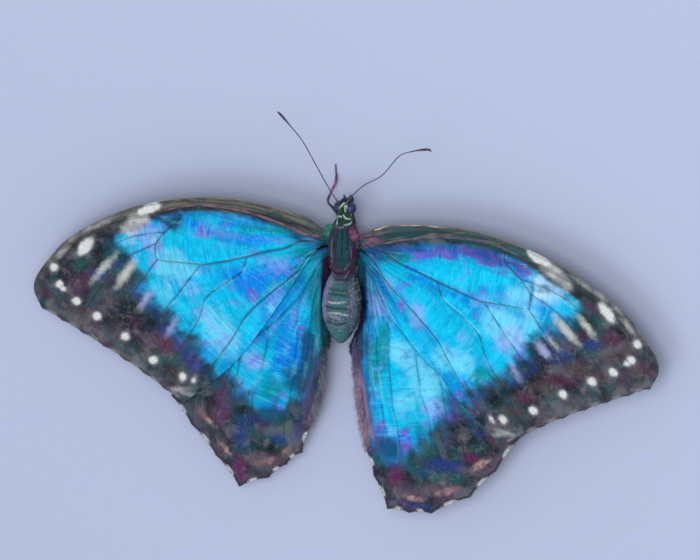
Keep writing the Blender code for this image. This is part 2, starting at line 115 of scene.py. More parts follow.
class Shader:
    """A Principled material whose nodes are added one call at a time."""

    def __init__(self, name):
        self.material = bpy.data.materials.new(name)
        self.material.use_nodes = True
        self.tree = self.material.node_tree
        self.out = self.tree.nodes["Principled BSDF"]
        self.seed = 0

    def node(self, kind, **settings):
        made = self.tree.nodes.new(kind)
        for key, value in settings.items():
            setattr(made, key, value)
        return made

    def put(self, socket, value):
        if isinstance(value, bpy.types.NodeSocket):
            self.tree.links.new(value, socket)
        elif value is not None:
            if isinstance(value, str):
                value = linear(value)
            if hasattr(socket.default_value, "__len__"):
                size = len(socket.default_value)
                if not hasattr(value, "__len__"):
                    value = (value,) * 3
                value = tuple(value)
                if size == 4 and len(value) == 3:
                    value = (*value, 1.0)
                value = value[:size]
            socket.default_value = value

    def attr(self, name, kind="Fac"):
        return self.node("ShaderNodeAttribute", attribute_name=name).outputs[kind]

    def math(self, operation, a, b=None, clamp=False):
        made = self.node("ShaderNodeMath", operation=operation, use_clamp=clamp)
        self.put(made.inputs[0], a)
        if b is not None:
            self.put(made.inputs[1], b)
        return made.outputs[0]

    def add(self, *values):
        total = values[0]
        for value in values[1:]:
            total = self.math("ADD", total, value)
        return total

    def mul(self, *values):
        total = values[0]
        for value in values[1:]:
            total = self.math("MULTIPLY", total, value)
        return total

    def flip(self, value):
        return self.math("SUBTRACT", 1.0, value)

    def smooth(self, value, low, high):
        """0 at low, 1 at high, with soft ends."""
        made = self.node("ShaderNodeMapRange", interpolation_type="SMOOTHSTEP")
        self.put(made.inputs["Value"], value)
        made.inputs["From Min"].default_value = low
        made.inputs["From Max"].default_value = high
        return made.outputs["Result"]

    def mix(self, amount, a, b, blend="MIX"):
        made = self.node("ShaderNodeMix", data_type="RGBA", blend_type=blend, clamp_factor=True)
        self.put(made.inputs["Factor"], amount)
        self.put(made.inputs[6], a)
        self.put(made.inputs[7], b)
        return made.outputs[2]

    def blend(self, amount, a, b):
        """The same for numbers."""
        made = self.node("ShaderNodeMix", data_type="FLOAT", clamp_factor=True)
        self.put(made.inputs["Factor"], amount)
        self.put(made.inputs[2], a)
        self.put(made.inputs[3], b)
        return made.outputs[0]

    def scaled(self, vector, scale, shift=(0, 0, 0)):
        made = self.node("ShaderNodeVectorMath", operation="MULTIPLY_ADD")
        self.put(made.inputs[0], vector)
        made.inputs[1].default_value = scale
        made.inputs[2].default_value = shift
        return made.outputs[0]

    def noise(self, vector, scale, detail=2.0, rough=0.5, bend=0.0):
        """Noise of its own, different for each call, about 0 to 1 around 0.5."""
        self.seed += 1
        moved = self.scaled(vector, (1, 1, 1), (17.3 * self.seed, 9.1 * self.seed, 3.7 * self.seed))
        made = self.node("ShaderNodeTexNoise")
        self.put(made.inputs["Vector"], moved)
        made.inputs["Scale"].default_value = scale
        made.inputs["Detail"].default_value = detail
        made.inputs["Roughness"].default_value = rough
        made.inputs["Distortion"].default_value = bend
        return made.outputs[0]

    def cells(self, vector, scale, feature="F1", which="Distance", random=1.0):
        made = self.node("ShaderNodeTexVoronoi", feature=feature)
        self.put(made.inputs["Vector"], vector)
        made.inputs["Scale"].default_value = scale
        made.inputs["Randomness"].default_value = random
        return made.outputs[which]

    def position(self):
        return self.node("ShaderNodeTexCoord").outputs["Object"]

    def bump(self, height, depth_mm, strength=1.0, under=None):
        made = self.node("ShaderNodeBump")
        made.inputs["Strength"].default_value = strength
        made.inputs["Distance"].default_value = depth_mm * MM
        self.put(made.inputs["Height"], height)
        if under is not None:
            self.put(made.inputs["Normal"], under)
        return made.outputs["Normal"]

    def finish(self, colour, roughness, normal=None, **sockets):
        self.put(self.out.inputs["Base Color"], colour)
        self.put(self.out.inputs["Roughness"], roughness)
        if normal is not None:
            self.put(self.out.inputs["Normal"], normal)
        for name, value in sockets.items():
            self.put(self.out.inputs[name.replace("_", " ")], value)
        return self.material


# ============================================================== lines and plans
def place(out, back, height, side=1.0):
    """Plan positions, in millimetres, as points of the frame, in metres."""
    out, back, height = np.broadcast_arrays(
        np.asarray(out, float), np.asarray(back, float), np.asarray(height, float)
    )
    return np.stack([side * out, back - BOX_BACK_MIDDLE, height], -1) * MM


def catmull_rom(controls, samples):
    points = np.asarray(controls, float)
    ends = np.vstack([2 * points[0] - points[1], points, 2 * points[-1] - points[-2]])
    t = (np.arange(samples) / samples)[:, None]
    run = []
    for a, b, c, d in zip(ends, ends[1:], ends[2:], ends[3:]):
        run.append(
            0.5
            * (
                2 * b
                + (c - a) * t
                + (2 * a - 5 * b + 4 * c - d) * t**2
                + (3 * b - a - 3 * c + d) * t**3
            )
        )
    run.append(points[-1:])
    return np.vstack(run)


def evenly(run, step=None, count=None):
    """The run walked again in steps of equal length."""
    run = np.asarray(run, float)
    gaps = np.linalg.norm(np.diff(run[:, : min(3, run.shape[1])], axis=0), axis=1)
    along = np.concatenate([[0], np.cumsum(gaps)])
    count = count or max(1, round(along[-1] / step))
    wanted = np.linspace(0, along[-1], count + 1)
    return np.stack([np.interp(wanted, along, run[:, i]) for i in range(run.shape[1])], 1)


def smooth_run(controls, step):
    return evenly(catmull_rom(controls, 24), step)


def nearest(points, line):
    """Distance from each point to a line of points, which segment, how far along it, and on which side."""
    a, ab = line[:-1], np.diff(line, axis=0)
    squares = np.maximum((ab * ab).sum(1), 1e-12)
    distance = np.empty(len(points))
    index = np.empty(len(points), int)
    along = np.empty(len(points))
    turn = np.empty(len(points))
    for start in range(0, len(points), 2000):
        p = points[start : start + 2000]
        ap = p[:, None] - a[None]
        t = np.clip((ap * ab[None]).sum(2) / squares, 0, 1)
        off = ap - t[..., None] * ab[None]
        d = (off * off).sum(2)
        k = d.argmin(1)
        rows = np.arange(len(p))
        distance[start : start + 2000] = np.sqrt(d[rows, k])
        index[start : start + 2000] = k
        along[start : start + 2000] = t[rows, k]
        best = ap[rows, k]
        turn[start : start + 2000] = ab[k, 0] * best[:, 1] - ab[k, 1] * best[:, 0]
    return distance, index, along, np.sign(turn)


def inside_ring(points, ring):
    """Whether each point lies inside the closed ring."""
    a, b = ring, np.roll(ring, -1, axis=0)
    result = np.zeros(len(points), bool)
    for start in range(0, len(points), 4000):
        p = points[start : start + 4000]
        crosses = (a[None, :, 1] > p[:, None, 1]) != (b[None, :, 1] > p[:, None, 1])
        with np.errstate(divide="ignore", invalid="ignore"):
            at = (b[:, 0] - a[:, 0]) * (p[:, None, 1] - a[:, 1]) / (b[:, 1] - a[:, 1]) + a[:, 0]
        result[start : start + 4000] = (crosses & (p[:, None, 0] < at)).sum(1) % 2 == 1
    return result


# ----------------------------------------------------------------- wing plans
FOREWING_LEADING_EDGE = [
    (2.0, -1.2), (4.4, -1.9), (9.0, -4.1), (21.5, -5.65), (33.0, -4.4),
    (45.0, -0.3), (56.0, 6.6), (62.3, 14.0), (63.9, 18.2), (62.3, 22.0),
]
FOREWING_OUTER_EDGE = [(62.3, 22.0), (53.2, 26.0), (42.8, 31.1), (32.6, 37.2)]
FOREWING_TRAILING_EDGE = [(32.6, 37.2), (22.0, 27.4), (13.0, 14.6), (5.4, 2.6), (2.0, 1.2)]
HINDWING_LEADING_EDGE = [(2.4, 1.6), (4.6, 2.0), (11.0, 5.2), (21.5, 14.0), (31.0, 25.5)]
TEETH = {  # the ends of the hindwing's veins
    "left": {
        "Rs": (35.6, 36.4), "M1": (31.6, 41.9), "M2": (27.0, 48.0), "M3": (22.7, 54.2),
        "CuA1": (16.9, 51.8), "CuA2": (13.3, 48.6), "2A": (10.1, 45.8), "3A": (7.9, 39.4),
    },
    "right": {
        "Rs": (36.2, 35.0), "M1": (30.8, 43.0), "M2": (25.6, 49.0), "M3": (17.6, 53.4),
        "CuA1": (13.1, 53.9), "CuA2": (8.7, 53.7), "2A": (5.9, 47.3), "3A": (4.2, 42.0),
    },
}
HINDWING_INNER_EDGE = {
    "left": [(7.9, 39.4), (6.2, 34.6), (5.0, 29.5), (4.6, 24.0), (4.75, 18.5), (4.6, 13.0), (4.3, 8.0), (4.2, 4.6), (2.4, 3.6)],
    "right": [(4.2, 42.0), (2.75, 35.0), (2.0, 29.5), (1.75, 24.0), (2.05, 19.6), (3.1, 17.2), (4.0, 12.8), (3.6, 8.6), (3.4, 4.8), (2.4, 3.6)],
}
FOREWING_SCALLOPS, FOREWING_SCALLOP_DEPTH = 7, 0.40
HINDWING_SCALLOP_DEPTH = 0.45
HINDWING_DROOP = {"left": 9.0, "right": 0.5}
RIM = 0.30  # spacing of the points on a wing's outline
GRAIN = 0.36  # spacing of the points inside a wing
MEMBRANE = 0.12  # thickness of a wing between its veins


def forewing_outline():
    """The ring of points, and how far each is along the outer edge (-1 where it isn't on it)."""
    leading = smooth_run(FOREWING_LEADING_EDGE, RIM)
    outer = smooth_run(FOREWING_OUTER_EDGE, RIM)
    trailing = smooth_run(FOREWING_TRAILING_EDGE, RIM * 1.5)
    t = np.linspace(0, 1, len(outer))
    ahead = np.gradient(outer, axis=0)
    inward = np.stack([-ahead[:, 1], ahead[:, 0]], 1)
    inward /= np.linalg.norm(inward, axis=1)[:, None]
    inward[inward[:, 0] > 0] *= -1
    depth = FOREWING_SCALLOP_DEPTH * np.abs(np.sin(math.pi * FOREWING_SCALLOPS * t))
    outer = outer + inward * depth[:, None]
    ring = np.vstack([leading[:-1], outer[:-1], trailing[:-1]])
    hollow = np.full(len(ring), -1.0)
    hollow[len(leading) - 1 : len(leading) - 1 + len(outer) - 1] = (t * FOREWING_SCALLOPS)[:-1]
    return ring, hollow


def hindwing_outline(side):
    teeth = np.array(list(TEETH[side].values()))
    leading = smooth_run(HINDWING_LEADING_EDGE + [tuple(teeth[0])], RIM * 1.5)
    scalloped, hollow = [], []
    for k, (a, b) in enumerate(zip(teeth, teeth[1:])):
        along = b - a
        length = np.linalg.norm(along)
        inward = np.array([along[1], -along[0]]) / length
        if inward[1] > 0:
            inward = -inward
        t = np.arange(max(6, round(length / RIM))) / max(6, round(length / RIM))
        bow = 4 * t * (1 - t)
        scalloped.append(a + along * t[:, None] + inward * HINDWING_SCALLOP_DEPTH * bow[:, None])
        hollow.append(k + t)
    inner = smooth_run(HINDWING_INNER_EDGE[side], RIM * 1.5)
    outer = np.vstack(scalloped)
    ring = np.vstack([leading[:-1], outer, inner[:-1]])
    marks = np.full(len(ring), -1.0)
    marks[len(leading) - 1 : len(leading) - 1 + len(outer)] = np.concatenate(hollow)
    return ring, marks


def forewing_height(p):
    t = np.clip((p[:, 0] - 3.5) / 60.0, 0, 1)
    return AXIS_HEIGHT + 0.30 + 0.5 * np.sin(math.pi * t) - 0.8 * t * t


def hindwing_height(side):
    root, tornus = np.array((3.5, 2.0)), np.array((32.0, 37.0))
    along = (tornus - root) / np.linalg.norm(tornus - root)
    slope = math.tan(math.radians(HINDWING_DROOP[side]))

    def height(p):
        away = p - root
        behind = away[:, 1] * along[0] - away[:, 0] * along[1]
        behind = 0.5 * (behind + np.sqrt(behind * behind + 9.0)) - 1.5
        return AXIS_HEIGHT - 0.65 - slope * np.maximum(behind, 0)

    return height


# Veins: points on the plan, half widths at root and tip, and how pale they look, which is partly a painted highlight
# along their ridges.
FOREWING_VEINS = {
    "C": ([(3.6, -1.6), (9.0, -3.75), (21.5, -5.3), (33.0, -4.05), (45.0, 0.05), (56.0, 6.95), (61.9, 14.2)], 0.42, 0.16, 0.9),
    "Sc": ([(4.2, -1.0), (9.0, -2.4), (14.0, -3.6), (21.5, -4.45), (32.0, -3.9), (40.0, -2.2), (44.0, -0.8)], 0.20, 0.10, 0.35),
    "R": ([(5.0, -0.2), (8.0, -0.5), (13.0, -2.0), (21.0, -3.5), (30.0, -3.4), (38.0, -1.0)], 0.30, 0.18, 1.0),
    "R1": ([(33.0, -2.7), (38.0, -1.0), (44.0, 0.9), (50.0, 2.6)], 0.15, 0.08, 0.7),
    "R2": ([(38.0, -1.0), (45.0, 1.9), (51.0, 4.5), (56.3, 6.9)], 0.14, 0.08, 0.6),
    "R3": ([(45.0, 1.9), (51.0, 5.1), (57.0, 8.7), (61.5, 12.2)], 0.13, 0.07, 0.6),
    "R4": ([(48.0, 3.5), (54.0, 6.6), (60.5, 11.9), (63.6, 17.4)], 0.12, 0.07, 0.2),
    "R5": ([(33.4, -0.1), (42.0, 0.8), (50.0, 4.0), (56.0, 9.0), (59.9, 15.6), (61.8, 21.8)], 0.12, 0.07, 0.0),
    "discal": ([(33.2, -2.0), (33.2, -0.2), (36.2, 2.8), (38.3, 5.8), (38.0, 8.8)], 0.20, 0.13, 0.0),
    "M1": ([(36.2, 2.8), (44.0, 5.2), (51.0, 10.2), (57.0, 18.3), (59.4, 23.2)], 0.11, 0.07, 0.0),
    "M2": ([(38.2, 5.5), (44.0, 9.0), (48.0, 13.5), (53.0, 21.0), (55.3, 24.8)], 0.11, 0.07, 0.0),
    "M3": ([(38.0, 8.8), (42.8, 15.8), (46.0, 20.5), (48.0, 24.0), (49.8, 27.3)], 0.11, 0.07, 0.0),
    "Cu": ([(4.5, 0.3), (8.9, 1.4), (11.5, 2.9), (15.0, 4.0), (20.5, 6.0), (28.0, 8.4), (29.3, 8.5), (38.0, 8.8)], 0.24, 0.12, 0.25),
    "CuA1": ([(29.0, 8.5), (33.4, 14.8), (37.0, 19.6), (42.0, 27.6), (43.8, 30.2)], 0.12, 0.07, 0.0),
    "CuA2": ([(19.5, 5.8), (20.7, 9.0), (25.0, 12.5), (27.9, 15.2), (29.3, 19.5), (32.5, 25.0), (36.0, 31.0), (37.4, 33.8)], 0.13, 0.07, 0.0),
    "2A": ([(5.0, 1.8), (7.5, 4.7), (9.5, 7.7), (14.4, 12.2), (19.4, 17.4), (21.8, 21.5), (24.8, 26.1), (31.0, 35.0)], 0.17, 0.08, 0.1),
}
HINDWING_VEINS = {
    "M3": ([(5.2, 5.1), (6.8, 8.6), (8.9, 12.9), (10.9, 15.6), (13.0, 17.9), (15.0, 20.2), (17.5, 22.5), (19.5, 24.0), (20.7, 27.3), (22.0, 36.0), (22.7, 45.0)], 0.20, 0.10, 0.2),
    "CuA1": ([(15.0, 20.2), (15.6, 24.7), (16.6, 29.5), (17.9, 33.1), (18.5, 35.8), (18.3, 44.0)], 0.12, 0.08, 0.0),
    "CuA2": ([(6.4, 7.8), (8.6, 12.9), (9.3, 15.4), (9.5, 19.5), (9.7, 24.0), (10.8, 33.0), (12.3, 41.0)], 0.12, 0.08, 0.0),
    "2A": ([(5.0, 5.6), (6.8, 18.0), (7.8, 28.0), (9.0, 38.0)], 0.12, 0.08, 0.0),
    "3A": ([(4.6, 6.4), (5.2, 14.0), (5.9, 24.0), (7.2, 33.0)], 0.10, 0.07, 0.6),
    "M2": ([(19.5, 24.0), (23.0, 31.0), (25.6, 40.0)], 0.11, 0.08, 0.0),
    "M1": ([(20.0, 21.0), (25.5, 29.0), (29.5, 36.0)], 0.11, 0.08, 0.0),
    "Rs": ([(5.2, 4.2), (10.0, 8.2), (15.0, 14.0), (25.0, 24.0), (32.0, 31.5)], 0.14, 0.08, 0.0),
}


def turned(points, degrees, about=(3.5, 3.0)):
    turn = math.radians(degrees)
    spin = np.array([[math.cos(turn), -math.sin(turn)], [math.sin(turn), math.cos(turn)]])
    return (np.asarray(points, float) - about) @ spin.T + about


def veins_of(wing, side):
    """The wing's veins as (line with half width and paleness at each point)."""
    table = FOREWING_VEINS if wing == "forewing" else HINDWING_VEINS
    lines = []
    for name, (points, root, tip, pale) in table.items():
        points = np.asarray(points, float)
        if wing == "hindwing":
            points = turned(points, -1.65 if side == "left" else 1.65)
            points = np.vstack([points, TEETH[side][name]])
            if name == "3A":
                points = points[:-1]
        run = smooth_run(points, 0.30)
        t = np.linspace(0, 1, len(run))
        width = (root + (tip - root) * t) * (0.80 if pale > 0.3 else 0.62)
        width *= np.clip((1 - t) * 14, 0.25, 1)
        tone = np.full(len(run), pale)
        # on the left forewing the Cu vein turns pale beyond 27 mm out: a painted highlight along it
        if name == "Cu":
            tone = 0.2 + 0.8 * np.clip((run[:, 0] - 27) / 3, 0, 1) * (side == "left")
        lines.append((name, run, width, tone))
    return lines


def ridge(points, lines):
    """Height of the veins' ridges over the membrane, distance from their flanks, and paleness."""
    height = np.zeros(len(points))
    flank = np.full(len(points), 9.0)
    pale = np.zeros(len(points))
    pink = np.zeros(len(points))
    for name, run, width, tone in lines:
        d, k, t, _ = nearest(points, run)
        w = width[k] + (width[k + 1] - width[k]) * t
        rise = 0.75 * w * np.sqrt(np.clip(1 - (d / (w * 1.25)) ** 2, 0, 1))
        height = np.maximum(height, rise)
        closer = d - w < flank
        flank = np.where(closer, d - w, flank)
        pale = np.where(closer, tone[k], pale)
        pink = np.where(closer, float(name == "R"), pink)
    return height, flank, pale, pink


def fill_points(ring, lines):
    """Points inside a wing: rows along its veins, and an even grain elsewhere."""
    rows = []
    for _, run, width, _ in lines:
        ahead = np.gradient(run, axis=0)
        across = np.stack([-ahead[:, 1], ahead[:, 0]], 1) / np.linalg.norm(ahead, axis=1)[:, None]
        for share in (-1.3, -0.6, 0.0, 0.6, 1.3):
            rows.append(run + across * (width * share)[:, None])
    rows = np.vstack(rows)
    low, high = ring.min(0), ring.max(0)
    tall = GRAIN * math.sqrt(3) / 2
    grid = []
    for k, y in enumerate(np.arange(low[1], high[1], tall)):
        x = np.arange(low[0] + (GRAIN / 2 if k % 2 else 0), high[0], GRAIN)
        grid.append(np.stack([x, np.full(len(x), y)], 1))
    grid = np.vstack(grid)
    for _, run, width, _ in lines:
        d, k, _, _ = nearest(grid, run[::2] if len(run) > 6 else run)
        grid = grid[d > width.max() * 1.3 + GRAIN * 0.45]
    points = np.vstack([rows, grid])
    points = points[inside_ring(points, ring)]
    d, _, _, _ = nearest(points, np.vstack([ring, ring[:1]]))
    points = points[d > GRAIN * 0.42]
    # drop points that nearly coincide
    cell = np.round(points / 0.07).astype(int)
    _, first = np.unique(cell, axis=0, return_index=True)
    return points[np.sort(first)]


def spots_field(points, spots):
    """How deep each point lies in the nearest spot, mm; below 0 outside. A spot is (out, back, half length, half width, turn)."""
    field = np.full(len(points), -9.0)
    for out, back, long, wide, turn in spots:
        c, s = math.cos(math.radians(turn)), math.sin(math.radians(turn))
        x, y = points[:, 0] - out, points[:, 1] - back
        across, along = (-s * x + c * y) / wide, (c * x + s * y) / long
        field = np.maximum(field, (1 - np.hypot(across, along)) * min(long, wide))
    return field


def tone_field(points, places):
    """Soft patches: each is (out, back, radius along out, radius along back, weight)."""
    field = np.zeros(len(points))
    for out, back, a, b, weight in places:
        d = ((points[:, 0] - out) / a) ** 2 + ((points[:, 1] - back) / b) ** 2
        field += weight * np.exp(-d)
    return np.clip(field, 0, 1.2)


# ============================================================ wing patterns
# White spots: (out, back, half length, half width, turn from the out axis)
ROW_OF_SPOTS = [
    (59.6, 13.4, 0.88, 0.72, 60), (58.5, 16.7, 0.82, 0.74, 30), (57.7, 17.5, 0.60, 0.46, 0),
    (54.9, 19.6, 0.84, 0.74, 20), (50.6, 22.0, 0.96, 0.82, 30), (44.8, 25.3, 0.86, 0.74, 30),
    (38.9, 29.3, 0.86, 0.74, 30), (32.8, 31.9, 0.88, 0.68, 60), (30.5, 32.2, 0.64, 0.32, 60),
]
FOREWING_SPOTS = {
    "left": ROW_OF_SPOTS + [(53.0, 8.2, 2.2, 1.02, 52), (39.5, -1.5, 1.9, 0.95, 26), (38.2, -2.3, 0.9, 0.7, 20), (41.2, -0.5, 1.0, 0.75, 28)],
    "right": ROW_OF_SPOTS + [(53.6, 7.6, 2.1, 1.00, 52), (39.9, -1.9, 1.9, 1.15, 28), (38.5, -2.5, 0.9, 0.8, 20), (41.4, -1.0, 1.0, 0.75, 28)],
}
FOREWING_CREAM = {
    "left": [(42.6, 2.0, 2.3, 1.45, 40), (41.0, 0.8, 1.3, 1.2, 30), (44.4, 3.4, 1.0, 0.9, 40)],
    "right": [(43.2, 1.0, 2.5, 1.30, 40), (41.6, -0.1, 1.4, 1.1, 30), (45.4, 2.8, 1.1, 0.9, 40)],
}
for _side in ("left", "right"):
    FOREWING_CREAM[_side] += [
        (49.1, 2.5, 1.3, 0.32, 32), (52.2, 4.3, 1.0, 0.28, 36), (55.6, 6.7, 0.9, 0.34, 42),
        (57.9, 9.9, 1.1, 0.30, 50), (60.6, 11.2, 0.8, 0.22, 58),
        (33.9, 34.6, 0.75, 0.14, 10), (31.9, 35.1, 0.60, 0.14, -10),
    ]
FOREWING_STREAKS = {
    "left": [(49.1, 11.9, 2.7, 0.52, 50), (44.5, 12.4, 3.0, 0.74, 55), (40.2, 16.8, 1.8, 0.56, 56), (35.1, 22.1, 1.5, 0.40, 62)],
    "right": [(49.5, 10.9, 1.8, 0.56, 50), (45.4, 12.2, 2.9, 0.78, 44), (42.6, 15.0, 1.2, 0.34, 46), (40.7, 16.6, 1.8, 0.78, 52), (35.2, 21.9, 1.8, 0.46, 60)],
}
# Bright lines on the front edge near the root, where the light catches it
COSTA_GLINT = {
    "left": [(12.0, -4.75, 3.6, 0.10, -20), (24.0, -5.45, 6.0, 0.07, 3)],
    "right": [(8.3, -3.80, 2.6, 0.20, -24), (13.5, -5.00, 3.6, 0.22, -8), (20.0, -5.45, 3.4, 0.14, -3)],
}
HINDWING_LUNULES = {
    "left": [(28.9, 40.0, 1.6, 0.50, 128), (25.0, 46.6, 1.3, 0.42, 128), (17.2, 48.4, 1.7, 0.50, 22), (13.0, 45.6, 0.9, 0.35, 40)],
    "right": [(32.2, 35.9, 1.4, 0.50, 132), (27.9, 42.0, 2.0, 0.66, 142), (21.1, 48.5, 2.3, 0.62, 158), (14.3, 50.8, 1.7, 0.46, 182)],
}
# The edge between the shining blue and the dark border, as a ring on the plan.
BLUE_AREA = {
    ("forewing", "left"): [
        (2.0, 0.3), (8.0, 0.1), (13.0, -1.1), (21.0, -2.6), (30.0, -2.5), (34.5, -1.4), (38.5, 0.3), (42.0, 3.2),
        (45.6, 4.6), (46.6, 6.4), (44.2, 9.4), (41.2, 12.2), (39.6, 15.0), (37.4, 18.0), (34.2, 21.4), (31.4, 24.0),
        (27.6, 27.6), (24.2, 33.0), (20.0, 40.0), (0.0, 20.0), (-4.0, 4.0),
    ],
    ("forewing", "right"): [
        (2.0, 0.3), (8.0, 0.3), (13.0, -0.8), (21.0, -2.2), (30.0, -2.2), (35.0, -1.2), (39.0, 0.8), (42.5, 3.2),
        (46.5, 5.0), (48.0, 7.4), (45.6, 10.0), (41.0, 13.4), (38.0, 17.4), (35.2, 20.6), (32.4, 22.8),
        (29.8, 24.4), (27.4, 26.2), (25.4, 28.4), (23.6, 32.0), (20.0, 40.0), (0.0, 20.0), (-4.0, 4.0),
    ],
    ("hindwing", "left"): [
        (28.4, 20.0), (26.2, 27.0), (23.6, 31.4), (21.4, 34.4), (18.6, 36.2), (16.0, 36.8), (12.9, 35.7), (10.7, 33.4),
        (8.8, 30.4), (7.2, 26.6), (6.2, 23.0), (5.9, 19.0), (5.0, 15.5), (4.1, 12.0), (3.6, 8.0), (3.0, 5.0), (2.2, 1.0), (12.0, 1.0),
    ],
    ("hindwing", "right"): [
        (32.0, 20.0), (31.0, 29.4), (27.0, 32.0), (24.2, 31.0), (22.0, 27.6), (20.3, 31.6), (19.2, 36.0), (17.2, 37.8), (14.2, 40.0), (11.8, 41.5), (9.7, 42.6),
        (7.9, 41.0), (6.3, 37.6), (5.5, 34.0), (4.9, 31.0), (4.3, 27.0), (4.0, 23.0), (3.9, 19.0), (3.8, 15.6), (3.4, 12.0), (2.9, 8.0), (2.4, 5.0), (1.8, 1.0), (12.0, 1.0),
    ],
}
